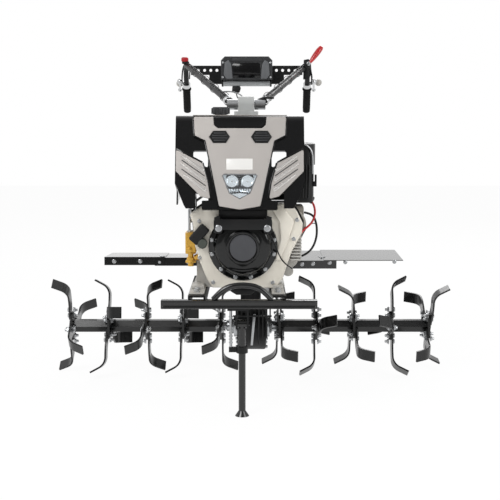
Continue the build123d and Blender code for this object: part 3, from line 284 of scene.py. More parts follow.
# The lamp bowl is ABS with a vacuum deposited chrome mirror, behind a clear polycarbonate lens
# that is glued to its rim.
chrome = coated("vacuum_chrome", "E6E8EA", "D8DADC", 0.07, 4.0, 0.02, metallic=1.0)
dress(chrome, "headlamp_housing")
clear, tree, out = blank_material("clear_polycarbonate")
glass = add(tree, "ShaderNodeBsdfPrincipled", Base_Color=linear("F2F6F8"), Roughness=0.04, IOR=1.585)
glass.inputs["Transmission Weight"].default_value = 1.0
tree.links.new(glass.outputs[0], out.inputs["Surface"])
dress(clear, "headlamp_lens")


# Each rotor has five flange plates with four spring steel tines in stoved black enamel, forged
# to a curve and folded at the foot. Two zinc plated bolts with nuts hold each to its flange.
ORIGIN = Vector((0.0, -243.3, 0.0))
DISC_PITCH = 133.0
FIRST_DISC = 105.0
FLANGE_HALF = 4.0
TINE_PLATE = 6.0
BOLT_RADII = (37.0, 58.0)
STANDING_TURN = 4.0
LEFT_BENDS = (1, 1, 1, 1, -1)
RIGHT_BENDS = (-1, 1, -1, -1, 1)


def spot(x, y, z):
    """A place on the machine, given in millimetres from the axle's middle on the ground."""
    return (Vector((x, y, z)) + ORIGIN) / 1000


def select(piece):
    """Make a piece the only selected one."""
    bpy.ops.object.select_all(action="DESELECT")
    piece.select_set(True)
    bpy.context.view_layer.objects.active = piece


def settle(piece, name):
    """Put a piece's place in its mesh and name it."""
    select(piece)
    bpy.ops.object.transform_apply(location=True, rotation=True, scale=True)
    piece.name = name
    piece.data.name = name
    piece.select_set(False)
    return piece


def turned(profile, name, sides=24):
    """A turned piece: a disc extruded and resized along +Z through (radius, height) steps, mm."""
    radius, height = profile[0]
    bpy.ops.object.select_all(action="DESELECT")
    bpy.ops.mesh.primitive_circle_add(vertices=sides, radius=radius / 1000, fill_type="NGON",
                                      location=(0, 0, height / 1000))
    piece = bpy.context.object
    bpy.ops.object.transform_apply(location=True, rotation=False, scale=False)
    bpy.ops.object.mode_set(mode="EDIT")
    bpy.ops.mesh.select_all(action="SELECT")
    for wide, high in profile[1:]:
        bpy.ops.mesh.extrude_region_move(TRANSFORM_OT_translate={"value": (0, 0, (high - height) / 1000)})
        bpy.ops.transform.resize(value=(wide / radius, wide / radius, 1),
                                 center_override=(0, 0, high / 1000))
        radius, height = wide, high
    bpy.ops.mesh.select_all(action="SELECT")
    bpy.ops.mesh.normals_make_consistent(inside=False)
    bpy.ops.object.mode_set(mode="OBJECT")
    return settle(piece, name)


def aimed(place, direction, twist=0.0):
    """The matrix that stands a piece made along +Z on a place, pointing in a direction."""
    turn = Vector(direction).to_track_quat("Z", "Y").to_matrix().to_4x4()
    return Matrix.Translation(place) @ turn @ Matrix.Rotation(math.radians(twist), 4, "Z")


def copied(piece, matrix):
    """A copy of a piece with its own mesh, placed by a matrix."""
    twin = bpy.data.objects.new(piece.name, piece.data.copy())
    bpy.context.scene.collection.objects.link(twin)
    twin.data.transform(matrix)
    if matrix.determinant() < 0:
        twin.data.flip_normals()
    return twin


def joined(pieces, name):
    """One piece from several."""
    bpy.ops.object.select_all(action="DESELECT")
    for piece in pieces:
        piece.select_set(True)
    bpy.context.view_layer.objects.active = pieces[0]
    if len(pieces) > 1:
        bpy.ops.object.join()
    return settle(bpy.context.object, name)


ROUNDED_OVER = 32
SMOOTH_UNDER = 35


def finished(piece, body, slot, material, *nodes, round_mm=0.0, steps=2):
    """Round a piece's edges, smooth it, dress it and let it ride on its body."""
    select(piece)
    if round_mm:
        rounding = piece.modifiers.new("rounding", "BEVEL")
        rounding.width = round_mm / 1000
        rounding.segments = steps
        rounding.limit_method = "ANGLE"
        rounding.angle_limit = math.radians(ROUNDED_OVER)
        bpy.ops.object.modifier_apply(modifier="rounding")
    bpy.ops.object.shade_smooth_by_angle(angle=math.radians(SMOOTH_UNDER))
    piece.select_set(False)
    piece.data.materials.clear()
    piece.data.materials.append(material)
    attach(piece, body)
    if nodes:
        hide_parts(*nodes)
    return piece


def hex_bolt(across, height, name):
    """A flanged hexagon bolt head that stands on z = 0."""
    washer = turned([(across * 0.72, 0), (across * 0.72, across * 0.1), (across * 0.62, across * 0.16)],
                    name, 20)
    head = turned([(across * 0.577, across * 0.1), (across * 0.577, height * 0.85),
                   (across * 0.5, height)], name, 6)
    return joined([washer, head], name)


def placed(model, places, name, body, slot, material):
    """Copies of one model at (place, direction) pairs, as one piece."""
    copies = [copied(model, aimed(place, direction, 17.0 * number))
              for number, (place, direction) in enumerate(places)]
    return finished(joined(copies, name), body, slot, material)


black_enamel = coated("stoved_black_enamel", "0B0C0D", "1D1C1A", 0.3, 2.0, 0.04, coat=0.2, gloss=0.35)
dress(black_enamel, "tine_discs_left", "tine_discs_right", "rotor_tube_left", "rotor_tube_right",
      "muffler_shield")
axle = (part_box("rotor_shaft")[0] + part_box("rotor_shaft")[1]) / 2
tine_bolt = hex_bolt(15.0, 7.0, "tine_bolt")
tine_stud = turned([(5.0, 0.0), (5.0, 13.0), (4.2, 14.5)], "tine_stud", 14)
tine_nut = joined([copied(tine_bolt, Matrix.Identity(4)), tine_stud], "tine_nut")
for side, bends, name in ((-1, LEFT_BENDS, "left_tine_bolts"), (1, RIGHT_BENDS, "right_tine_bolts")):
    fixings = []
    for number, bend in enumerate(bends):
        standing = (number % 2 == 0) == (side < 0)
        turn = STANDING_TURN + (0 if standing else 45)
        x = -(FIRST_DISC + number * DISC_PITCH) / 1000
        for quarter in range(4):
            hand = bend if quarter % 2 == 0 else -bend
            for reach in BOLT_RADII:
                seat = (Matrix.Rotation(0 if side < 0 else math.pi, 4, "Z")
                        @ Matrix.Translation((x, 0, 0))
                        @ Matrix.Rotation(math.radians(turn + 90 * quarter), 4, "X"))
                seat = Matrix.Translation(axle) @ seat
                front = Vector((hand * (FLANGE_HALF + TINE_PLATE), 0, reach)) / 1000
                back = Vector((-hand * FLANGE_HALF, 0, reach)) / 1000
                fixings.append(copied(tine_bolt, seat @ aimed(front, (hand, 0, 0))))
                fixings.append(copied(tine_nut, seat @ aimed(back, (-hand, 0, 0))))
    finished(joined(fixings, name), "rotors", "steel", zinc_steel)
for spare in (tine_bolt, tine_nut):
    bpy.data.objects.remove(spare)

# The recoil starter is a drawn steel cover with a rolled rim, held by eight small bolts. A pressed
# steel bridge across its top carries the two hood posts, with a washer headed bolt at each end.
RECOIL_X = -22.0
RECOIL_Z = 516.0
RECOIL_BACK = -390.0
RIM_BOLT_CIRCLE = 101.0
FRONT = (0, -1, 0)


def cast_block(x0, x1, y0, y1, z0, z1, name):
    """A block between two corners, in millimetres on the machine."""
    bpy.ops.object.select_all(action="DESELECT")
    bpy.ops.mesh.primitive_cube_add(size=1, location=spot((x0 + x1) / 2, (y0 + y1) / 2, (z0 + z1) / 2))
    piece = bpy.context.object
    piece.scale = ((x1 - x0) / 1000, (y1 - y0) / 1000, (z1 - z0) / 1000)
    return settle(piece, name)


def plate_from(points, front, thick, name):
    """A plate cut to an outline of (x, z) points seen from the front, mm; front is its Y."""
    bpy.ops.object.select_all(action="DESELECT")
    bpy.ops.mesh.primitive_circle_add(vertices=len(points), radius=1, fill_type="NGON")
    piece = bpy.context.object
    for vertex, (x, z) in zip(piece.data.vertices, points):
        vertex.co = spot(x, front, z)
    bpy.ops.object.mode_set(mode="EDIT")
    bpy.ops.mesh.select_all(action="SELECT")
    bpy.ops.mesh.extrude_region_move(TRANSFORM_OT_translate={"value": (0, thick / 1000, 0)})
    bpy.ops.mesh.select_all(action="SELECT")
    bpy.ops.mesh.normals_make_consistent(inside=False)
    bpy.ops.object.mode_set(mode="OBJECT")
    return settle(piece, name)


def moved(piece, matrix):
    """The piece itself, its mesh placed by a matrix."""
    piece.data.transform(matrix)
    return piece


cover = turned([(109, 0), (109, 3.5), (107, 5), (95, 6), (92, 8), (89, 18), (85, 25), (78, 28.5), (66, 30),
                (56, 30), (53.5, 31), (53, 36), (51, 38.6), (47, 39), (44, 38.4), (42.5, 36)],
               "recoil_cover", 96)
cover = moved(cover, aimed(spot(RECOIL_X, RECOIL_BACK, RECOIL_Z), FRONT))
finished(cover, "chassis", "gloss_black_paint", gloss_enamel, "recoil_starter", round_mm=0.5)
badge_seat = moved(turned([(42, 0), (42, 2.8)], "badge_seat", 48),
                   aimed(spot(RECOIL_X, RECOIL_BACK - 36.2, RECOIL_Z), FRONT))
finished(badge_seat, "chassis", "grey_plastic", badge_grey)
small_bolt = hex_bolt(10.0, 6.0, "m6_bolt")
wide_bolt = hex_bolt(15.0, 8.0, "m8_bolt")
rim_bolts = [(spot(RECOIL_X + RIM_BOLT_CIRCLE * math.cos(math.radians(turn)), RECOIL_BACK - 5,
                   RECOIL_Z + RIM_BOLT_CIRCLE * math.sin(math.radians(turn))), FRONT)
             for turn in (12, -14, -46, -76, -104, -134, -166, 168)]
rim_bolt = hex_bolt(9.0, 5.0, "rim_bolt")
placed(rim_bolt, rim_bolts, "recoil_rim_bolts", "chassis", "steel", zinc_steel)
bridge = plate_from([(-108, 562), (-112, 612), (-96, 618), (-94, 606), (50, 606), (52, 618), (68, 612),
                     (64, 562), (46, 562), (40, 573), (-84, 573), (-90, 562)], RECOIL_BACK - 43, 9,
                    "recoil_bridge")
finished(bridge, "chassis", "black_paint", black_steel, round_mm=1.2)
behind = cast_block(-98, 54, RECOIL_BACK - 10, RECOIL_BACK, 604, 642, "bridge_back")
finished(behind, "chassis", "black_paint", black_steel, round_mm=1.5)
lugs = [cast_block(x, x + 26, RECOIL_BACK - 42, RECOIL_BACK - 11, 564, 604, "bridge_lug")
        for x in (-113, 43)]
finished(joined(lugs, "bridge_lugs"), "chassis", "black_paint", black_steel, round_mm=2.0)
placed(wide_bolt, [(spot(x, RECOIL_BACK - 42, 578), FRONT) for x in (-98, 54)], "bridge_bolts",
       "chassis", "steel", zinc_steel)
shroud_bolts = [(spot(x, RECOIL_BACK - 0.5, z), FRONT)
                for x, z in ((-117, 401), (72, 400), (-160, 596), (-160, 480), (148, 600), (138, 540))]
placed(rim_bolt, shroud_bolts, "shroud_bolts", "chassis", "steel", zinc_steel)

# A round seat of weathered plastic sits on the shroud at the starter's grip. A throttle cable
# crosses the shroud in an arc, and two steel pipes run down to the injection pump.


def wire(points, radius, name, order=3):
    """A round wire, hose or pipe along points in millimetres, as one closed mesh."""
    curve = bpy.data.curves.new(name, "CURVE")
    curve.dimensions = "3D"
    line = curve.splines.new("NURBS")
    line.points.add(len(points) - 1)
    for point, place in zip(line.points, points):
        point.co = (*spot(*place), 1.0)
    line.order_u = order
    line.use_endpoint_u = True
    curve.resolution_u = 8
    curve.bevel_depth = radius / 1000
    curve.bevel_resolution = 4
    curve.use_fill_caps = True
    piece = bpy.data.objects.new(name, curve)
    bpy.context.scene.collection.objects.link(piece)
    select(piece)
    bpy.ops.object.convert(target="MESH")
    return settle(bpy.context.object, name)


cable_black = coated("pvc_cable_jacket", "0C0C0D", "1A1A1A", 0.5, 1.0, 0.03, gloss=0.35)
knob = moved(turned([(14, 0), (16, 3), (16, 20), (13, 25)], "starter_knob", 20),
             aimed(spot(-150, RECOIL_BACK - 0.5, 527), FRONT))
pull_green = coated("weathered_grey_green_plastic", "3D423C", "4B4E48", 0.5, 1.0, 0.08)
finished(knob, "chassis", "grey_plastic", pull_green, round_mm=1.5)
throttle = wire([(52, -412, 572), (70, -430, 548), (88, -414, 498), (108, -402, 462), (134, -396, 446)],
                2.2, "throttle_cable")
finished(throttle, "chassis", "black_plastic", cable_black)
lines = [wire([(-186, -352, 676), (-190, -356, 640), (-186, -356, 606), (-188, -340, 588)], 3.0, "pump_pipe"),
         wire([(-176, -330, 690), (-170, -340, 650), (-176, -350, 612), (-172, -340, 592)], 2.5, "pump_pipe")]
finished(joined(lines, "pump_pipes"), "chassis", "steel", zinc_steel)

# The hood's nose carries moulded and sprayed trim: two louvred vents in hexagonal bezels, a bare
# pale plate, and cheeks with three raised flutes each, all clipped to the black moulding.
HOOD_X = -32.0
HOOD_FOOT = (-430.0, 640.0)
HOOD_SLOPE = math.atan2(100.0, 286.0)
PANEL_THICK = 7.0


def on_hood(x, z, out):
    """A place on the sloping nose: sideways from its middle, its height, and out from its face."""
    rise = (z - HOOD_FOOT[1]) / math.cos(HOOD_SLOPE)
    y = HOOD_FOOT[0] + rise * math.sin(HOOD_SLOPE) - out * math.cos(HOOD_SLOPE)
    return spot(HOOD_X + x, y, HOOD_FOOT[1] + rise * math.cos(HOOD_SLOPE) + out * math.sin(HOOD_SLOPE))


HOOD_OUT = (on_hood(0, 700, 1) - on_hood(0, 700, 0)).normalized()


def hood_plate(points, out, thick, name, inset=0.0, lift=0.0):
    """A moulding on the nose from an outline of (sideways, height) points."""
    bpy.ops.object.select_all(action="DESELECT")
    bpy.ops.mesh.primitive_circle_add(vertices=len(points), radius=1, fill_type="NGON")
    piece = bpy.context.object
    for vertex, (x, z) in zip(piece.data.vertices, points):
        vertex.co = on_hood(x, z, out)
    bpy.ops.object.mode_set(mode="EDIT")
    bpy.ops.mesh.select_all(action="SELECT")
    bpy.ops.mesh.extrude_region_move(TRANSFORM_OT_translate={"value": HOOD_OUT * thick / 1000})
    if inset:
        bpy.ops.mesh.inset(thickness=inset / 1000, depth=0)
        bpy.ops.transform.translate(value=HOOD_OUT * lift / 1000)
    bpy.ops.mesh.select_all(action="SELECT")
    bpy.ops.mesh.normals_make_consistent(inside=False)
    bpy.ops.object.mode_set(mode="OBJECT")
    return settle(piece, name)


def band(start, end, width, taper=1.0):
    """The four corners of a slanted band between two points on the nose."""
    run = (Vector(end) - Vector(start)).normalized()
    side = Vector((-run.y, run.x)) * width / 2
    return [tuple(Vector(start) + side * taper), tuple(Vector(start) - side * taper),
            tuple(Vector(end) - side), tuple(Vector(end) + side)]


flutes, grooves = [], []
for side in (-1, 1):
    for start, end, width in (((180, 798), (112, 752), 12), ((184, 775), (108, 722), 12),
                              ((176, 742), (104, 692), 12)):
        corners = [(side * x, z) for x, z in band(start, end, width, 0.5)]
        flutes.append(hood_plate(corners, PANEL_THICK + 0.2, 1.0, "flute", 3.0, 3.5))
    for start, end, width in (((182, 786), (110, 737), 3), ((182, 758), (106, 707), 3)):
        corners = [(side * x, z) for x, z in band(start, end, width)]
        grooves.append(hood_plate(corners, PANEL_THICK, 0.6, "groove"))
bright_lacquer = coated("bright_silver_lacquer", "C9C6C3", "BDBAB6", 0.26, 2.0, 0.02, metallic=0.5, coat=0.5)
finished(joined(flutes, "wing_flutes"), "chassis", "silver_plastic", bright_lacquer, round_mm=0.8)
finished(joined(grooves, "wing_grooves"), "chassis", "black_plastic", grey_abs)
cheek_edges = []
for side in (-1, 1):
    for corners in ([(200, 818), (118, 776), (116, 781), (197, 823)],
                    [(118, 776), (100, 716), (92, 668), (87, 668), (95, 717), (113, 778)]):
        cheek_edges.append(hood_plate([(side * x, z) for x, z in corners], 0.4, PANEL_THICK + 1.5, "edge"))
finished(joined(cheek_edges, "cheek_edges"), "chassis", "black_plastic", gloss_abs, round_mm=0.8)

vents, slats = [], []
for x in (-64, 68):
    hexagon = [(x - 33, 857), (x - 20, 876), (x + 20, 876), (x + 33, 857), (x + 20, 838), (x - 20, 838)]
    vents.append(hood_plate(hexagon, PANEL_THICK - 0.2, 2.2, "vent", 3.0, -1.6))
    for z, half in ((868, 18), (860.5, 23), (853, 23), (845.5, 18)):
        slats.append(hood_plate([(x - half, z - 2), (x - half, z + 2), (x + half, z + 2), (x + half, z - 2)],
                                PANEL_THICK, 3.4, "slat"))
finished(joined(vents, "nose_vents"), "chassis", "black_plastic", black_pp, round_mm=0.6)
finished(joined(slats, "nose_vent_slats"), "chassis", "grey_plastic", grey_abs, round_mm=0.5)
pale_film = coated("blank_satin_film", "D9D8D5", "CFCDC9", 0.35, 3.0, 0.01, coat=0.3)
film = hood_plate([(-42, 756), (-42, 790), (40, 790), (40, 756)], PANEL_THICK, 0.5, "blank_plate")
finished(film, "chassis", "silver_plastic", pale_film, round_mm=0.2)
recess = hood_plate([(-84, 921), (84, 921), (82, 896), (70, 886), (-70, 886), (-82, 896)], 0.2, 1.5,
                    "nose_recess", 7.0, -1.0)
finished(recess, "chassis", "gloss_black_plastic", gloss_abs, round_mm=0.8)
edges = []
for side in (-1, 1):
    for corners in ([(64, 646), (84, 740), (108, 846), (112, 845), (88, 739), (68, 644)],
                    [(108, 846), (142, 862), (146, 920), (150, 920), (146, 859), (111, 842)]):
        edges.append(hood_plate([(side * x, z) for x, z in corners], 0.2, PANEL_THICK + 1.2, "panel_edge"))
finished(joined(edges, "panel_edges"), "chassis", "gloss_black_plastic", gloss_abs, round_mm=0.8)

# The headlamp bowl is faceted and mirror coated. Two round reflectors with halogen bulbs stand
# over a row of facets and between dark bars, behind the clear lens.
bowls, bulbs = [], []
for x in (-24, 24):
    bowl = turned([(19, 0), (19, 1.5), (15.5, 1.5), (13.5, -3), (9, -7), (4, -9)], "bowl", 28)
    bowls.append(moved(bowl, aimed(on_hood(x, 722, 0.2), HOOD_OUT)))
    bulb = turned([(3.2, -8), (3.2, -1), (2.4, 1.2), (0.8, 2)], "bulb", 16)
    bulbs.append(moved(bulb, aimed(on_hood(x, 722, 0.2), HOOD_OUT)))
facets = []
for number in range(9):
    x = -32 + number * 8
    facets.append(hood_plate([(x - 3.6, 694 - abs(number - 4)), (x - 3.6, 703), (x + 3.6, 703),
                              (x + 3.6, 694 - abs(number - 4))], -9, 5.0, "facet", 1.2, 2.0))
finished(joined(bowls + facets, "lamp_reflectors"), "chassis", "chrome", chrome)
finished(joined(bulbs, "lamp_bulbs"), "chassis", "clear_lens", pale_film)
brow = [hood_plate([(-44, 735), (-40, 742), (40, 742), (44, 735)], -9, 8.0, "brow"),
        hood_plate([(-5, 706), (-3, 734), (3, 734), (5, 706)], -9, 9.5, "brow"),
        hood_plate([(-40, 705), (-34, 700), (34, 700), (40, 705), (30, 708), (-30, 708)], -9, 9.0, "brow")]
finished(joined(brow, "lamp_brow"), "chassis", "black_plastic", grey_abs, round_mm=0.8)

# A sprayed silver cap lies on the hood's roof, behind the nose, round the tank's filler. The
# filler cap is lobed for grip and has a breather tab beside it.
ROOF_FALL = math.atan2(18.0, 350.0)


def on_roof(x, y, up):
    """A place on the roof: sideways on the machine, its Y, and up from the roof."""
    return spot(x, y, 926.0 - (y + 330.0) * math.tan(ROOF_FALL) + up)


roof = turned([(1000, 0), (1000, 2.2)], "roof_cap", 8)
outline = [(-178, -322), (114, -322), (118, -312), (118, -10), (106, 4), (-170, 4), (-182, -10), (-182, -312)]
for vertex in roof.data.vertices:
    turn = math.atan2(vertex.co.y, vertex.co.x)
    x, y = outline[round(((turn - math.radians(-112.5)) % (2 * math.pi)) / (math.pi / 4)) % 8]
    vertex.co = on_roof(x, y, 0.2 + vertex.co.z * 1000)
finished(roof, "chassis", "silver_plastic", silver_lacquer, round_mm=0.8)
tab = cast_block(-142, -118, -236, -224, 919, 925, "breather_tab")
finished(tab, "chassis", "black_plastic", black_pp, round_mm=1.5)
LOBE_CIRCLE = 24
lobes = [moved(turned([(6.5, 0), (6.5, 17), (5, 19)], "lobe", 14),
               aimed(spot(-96 + LOBE_CIRCLE * math.cos(math.radians(45 * n)),
                          -230 + LOBE_CIRCLE * math.sin(math.radians(45 * n)), 931), (0, 0, 1)))
         for n in range(8)]
finished(joined(lobes, "cap_lobes"), "chassis", "grey_plastic", grey_abs, round_mm=0.8)

# The console is a hard ABS box: two grey side bolsters frame a dark sunken face under a plain
# brow, four screws hold it, and a grey tube with black plugs runs below it.
HANDLE_X = -14.0
CONSOLE_FACE = 690.0
face = plate_from([(HANDLE_X - 56, 1078), (HANDLE_X - 60, 1132), (HANDLE_X - 48, 1140), (HANDLE_X + 48, 1140),
                   (HANDLE_X + 60, 1132), (HANDLE_X + 56, 1078)], CONSOLE_FACE - 1.2, 1.4, "console_face")
finished(face, "handlebar", "black_plastic", gloss_abs, round_mm=0.6)
bolsters = []
for side in (-1, 1):
    points = [(58, 1074), (64, 1134), (76, 1152), (92, 1140), (96, 1090), (84, 1074)]
    bolsters.append(plate_from([(HANDLE_X + side * x, z) for x, z in points], CONSOLE_FACE - 6, 7, "bolster"))
bolster_grey = coated("grained_grey_abs", "5B5D60", "686868", 0.5, 1.0, 0.1, gloss=0.35)
finished(joined(bolsters, "console_bolsters"), "handlebar", "grey_plastic", bolster_grey,
         round_mm=3.0, steps=3)
brow = plate_from([(HANDLE_X - 66, 1144), (HANDLE_X - 58, 1160), (HANDLE_X + 58, 1160),
                   (HANDLE_X + 66, 1144)], CONSOLE_FACE - 3, 4, "console_brow")
finished(brow, "handlebar", "grey_plastic", grey_abs, round_mm=2.0)
pan_screw = turned([(4.2, 0), (4.2, 1.2), (3.0, 2.2), (1.4, 2.4)], "pan_screw", 16)
placed(pan_screw, [(spot(HANDLE_X + x, CONSOLE_FACE - 0.3, z), FRONT)
                   for x, z in ((-100, 1080), (100, 1080), (-98, 1140), (98, 1140))],
       "console_screws", "handlebar", "steel", zinc_steel)
plugs = [moved(turned([(15, 0), (15, 5), (13, 7)], "plug", 24),
               aimed(spot(HANDLE_X + x, 725, 1057), (x, 0, 0))) for x in (-98, 98)]
finished(joined(plugs, "roll_plugs"), "handlebar", "black_plastic", black_pp, round_mm=0.8)
clamp = plate_from([(-74, 1044), (-76, 1024), (-64, 1014), (-44, 1018), (-38, 1036), (-42, 1044)], 716, 18,
                   "console_clamp")
finished(clamp, "handlebar", "black_plastic", black_pp, round_mm=2.5)

# Bowden cables for clutch and throttle run down both arms under nylon ties. Their jackets are
# extruded PVC over a wound steel liner. Cast clamps with one bolt each hold the arms' lower ends.
ARM_START = Vector((52.0, 152.0, 964.0))
ARM_CORNER = Vector((263.0, 850.0, 1138.0))
ARM_END = Vector((267.0, 1000.0, 946.0))


def on_arm(side, share, out=0.0, up=0.0, lower=False):
    """A place along an arm's centre line, moved out and up, in machine millimetres."""
    a, b = (ARM_CORNER, ARM_END) if lower else (ARM_START, ARM_CORNER)
    place = a.lerp(b, share)
    return (HANDLE_X + side * (place.x + out), place.y, place.z + up)


cables = []
for side in (-1, 1):
    cables.append(wire([on_arm(side, 0.42, 20, 6, True), on_arm(side, 0.2, 18, 12, True),
                        on_arm(side, 0.0, 4, 10, True), on_arm(side, 0.93, -2, 16),
                        on_arm(side, 0.8, -3, 15), on_arm(side, 0.55, -2, 15), on_arm(side, 0.3, -2, 15),
                        on_arm(side, 0.1, -2, 15), on_arm(side, 0.02, -10, 12)], 3.0, "bowden_cable"))
    cables.append(wire([on_arm(side, 0.3, -14, 0, True), on_arm(side, 0.08, -17, 6, True),
                        on_arm(side, 0.94, -16, -6), on_arm(side, 0.8, -13, -9), on_arm(side, 0.55, -13, -9),
                        on_arm(side, 0.3, -13, -9), on_arm(side, 0.1, -13, -9),
                        on_arm(side, 0.03, -16, -6)], 2.6, "bowden_cable"))
finished(joined(cables, "arm_cables"), "handlebar", "black_plastic", cable_black)
steel_grey = coated("grey_pvc_jacket", "77797B", "6A6A69", 0.45, 1.0, 0.03, gloss=0.35)
stray = [wire([on_arm(-1, 0.36, -8, -12), (-118, 392, 1014), (-72, 350, 1016), (-34, 260, 1002),
               (-22, 190, 984), (-20, 172, 978)], 2.4, "console_lead")]
finished(joined(stray, "grey_cable"), "handlebar", "grey_plastic", steel_grey)
lead = wire([(-58, 722, 1020), (-54, 690, 996), (-44, 560, 992), (-34, 380, 986), (-26, 230, 984),
             (-24, 176, 978)], 2.6, "console_lead")
finished(lead, "handlebar", "black_plastic", cable_black)


def hoop(inner, outer, wide, name, sides=32):
    """An open strap ring about the z axis, a torus pressed to a flat section."""
    bpy.ops.mesh.primitive_torus_add(major_radius=(inner + outer) / 2000, minor_radius=(outer - inner) / 2000,
                                     major_segments=sides, minor_segments=8)
    ring = settle(bpy.context.object, name)
    ring.data.transform(Matrix.Diagonal((1, 1, wide / (outer - inner), 1)))
    return ring


ties = []
for side in (-1, 1):
    for share in (0.16, 0.36, 0.56, 0.76):
        run = ARM_CORNER - ARM_START
        ties.append(moved(hoop(16.2, 18.4, 4.6, "tie"),
                          aimed(spot(*on_arm(side, share, -4, 2)), (side * run.x, run.y, run.z))))
nylon = coated("black_nylon", "101011", "1B1B1B", 0.45, 1.0, 0.03, gloss=0.35)
finished(joined(ties, "cable_ties"), "handlebar", "black_plastic", nylon, round_mm=0.4)
clamps, screws = [], []
for side in (-1, 1):
    run = ARM_CORNER - ARM_START
    ring = hoop(12.6, 17.6, 24.0, "arm_clamp")
    clamps.append(moved(ring, aimed(spot(*on_arm(side, 0.075)), (side * run.x, run.y, run.z))))
    screws.append((spot(*on_arm(side, 0.075, 0, 16.5)), (0, 0, 1)))
finished(joined(clamps, "arm_clamps"), "handlebar", "alloy", bright_alloy, round_mm=1.0)
placed(small_bolt, screws, "arm_clamp_bolts", "handlebar", "steel", zinc_steel)

# Grips are moulded over the tube with a flange and rings. The left arm's corner carries a red
# push cap, and a black bracket on the right arm holds the long red lever and its bent steel rod.
# Cast bosses carry the hand levers, and a black steel lever locks the swivel head.
rings = []
for side in (-1, 1):
    run = ARM_END - ARM_CORNER
    for number in range(11):
        share = 0.52 + number * 0.043
        wide = 20.5 if number == 0 else 16.9
        ring = turned([(wide - 2, -2.2), (wide, -1.2), (wide, 1.2), (wide - 2, 2.2)], "grip_ring", 24)
        rings.append(moved(ring, aimed(spot(*on_arm(side, share, 0, 0, True)), (side * run.x, run.y, run.z))))
finished(joined(rings, "grip_rings"), "handlebar", "rubber", grip_rubber)
cap_base = cast_block(-292, -262, 828, 858, 1142, 1152, "cap_base")
finished(cap_base, "handlebar", "black_plastic", black_pp, round_mm=2.0)
red_plastic = coated("red_polyamide", "A81A22", "8D171D", 0.4, 1.0, 0.05, gloss=0.4)
push_cap = cast_block(-295, -265, 826, 852, 1150, 1170, "push_cap")
finished(push_cap, "handlebar", "red_paint", red_plastic, round_mm=6.0, steps=3)
plate = plate_from([(226, 1074), (250, 1074), (262, 1100), (258, 1150), (248, 1160), (228, 1156)], 778, 5,
                   "lever_bracket")
finished(plate, "handlebar", "black_paint", black_steel, "red_lever", round_mm=1.2)
pivot = moved(turned([(9, 0), (9, 8), (6, 10)], "lever_pivot", 20), aimed(spot(248, 778, 1140), FRONT))
finished(pivot, "handlebar", "steel", zinc_steel, round_mm=0.6)
foot, tip = Vector((246, 780, 1134)), Vector((305, 797, 1212))
run = (tip - foot).normalized()
paddle = turned([(6, 0), (9, 16), (13, 34), (15.5, 52), (16.5, 74), (15, 90), (11, 98), (5, 101)],
                "red_lever_paddle", 24)
paddle.data.transform(Matrix.Diagonal((0.85, 0.75, 1, 1)))
paddle = moved(paddle, aimed(spot(*foot), run))
finished(paddle, "handlebar", "red_paint", red_enamel, "red_lever")
bosses = [moved(turned([(4, -16), (8, -13), (13.5, -6), (15, 0), (13.5, 7), (8, 12.5), (2, 14.8)],
                       "lever_boss", 28),
                aimed(spot(*place), FRONT)) for place in ((-311, 955, 1062), (303, 955, 1066))]
finished(joined(bosses, "lever_bosses"), "handlebar", "steel", alloy_casting)
rod = wire([(256, 776, 1120), (262, 772, 1098), (264, 772, 1072), (262, 776, 1052)], 2.6, "lever_rod")
finished(rod, "handlebar", "black_paint", black_steel)
lock = wire([(26, 152, 978), (44, 150, 986), (70, 146, 990), (86, 140, 988)], 5.0, "lock_lever")
finished(lock, "handlebar", "black_paint", black_steel)

# A thin moulded gasket shows as a dark seam round the fan shroud. Cast aluminium feet carry the
# engine on the rails, a pressed sump pan hangs between them, and a bent tube guards the front.
seam = [(-136, 652), (-190, 618), (-180, 589), (-174, 517), (-158, 463), (-136, 409), (-120, 383),
        (79, 381), (104, 412), (120, 463), (133, 501), (164, 558), (167, 589), (148, 627), (126, 652)]
SEAM_CENTRE = Vector((-11, 520))
SEAM_GROWTH = 1.032
seam = [tuple(SEAM_CENTRE + (Vector(corner) - SEAM_CENTRE) * SEAM_GROWTH) for corner in seam]
gasket = plate_from(seam, -336, 5, "shroud_gasket")
finished(gasket, "chassis", "black_plastic", black_pp)
feet = []
for x0, x1 in ((-190, -142), (68, 108)):
    feet.append(cast_block(x0, x1, -470, -336, 375.3, 381, "engine_foot"))
    feet.append(cast_block(x0 + 4, x1 - 4, -400, -336, 381, 392, "engine_foot"))
finished(joined(feet, "engine_feet"), "chassis", "engine_alloy", alloy_casting, round_mm=2.0)
placed(wide_bolt, [(spot(x, y, 381), (0, 0, 1)) for x in (-166, 88) for y in (-455, -420)], "foot_bolts",
       "chassis", "steel", zinc_steel)
pan = plate_from([(-64, 374), (16, 374), (16, 360), (2, 348), (-44, 348), (-64, 360)], -328, 130, "sump_pan")
finished(pan, "chassis", "black_paint", black_steel, round_mm=3.0)
GUARD_Y = -499
arch = wire([(x, GUARD_Y, z) for x, z in ((-113, 365.5), (-97, 383), (-78, 399), (-54, 408), (-23, 411),
                                          (8, 408), (32, 399), (51, 383), (67, 365.5))], 9.2, "guard_tube")
finished(arch, "chassis", "black_paint", fender_gloss, "bumper_arch")
bar = cast_block(-274, 207, -512, -486, 338, 365, "bumper_channel")
select(bar)
bpy.ops.object.mode_set(mode="EDIT")
bpy.ops.mesh.select_all(action="DESELECT")
bpy.ops.object.mode_set(mode="OBJECT")
for face in bar.data.polygons:
    face.select = face.normal.y < -0.9
bpy.ops.object.mode_set(mode="EDIT")
bpy.ops.mesh.select_mode(type="FACE")
bpy.ops.mesh.inset(thickness=0.005, depth=0)
bpy.ops.mesh.inset(thickness=0.002, depth=-0.003)
bpy.ops.object.mode_set(mode="OBJECT")
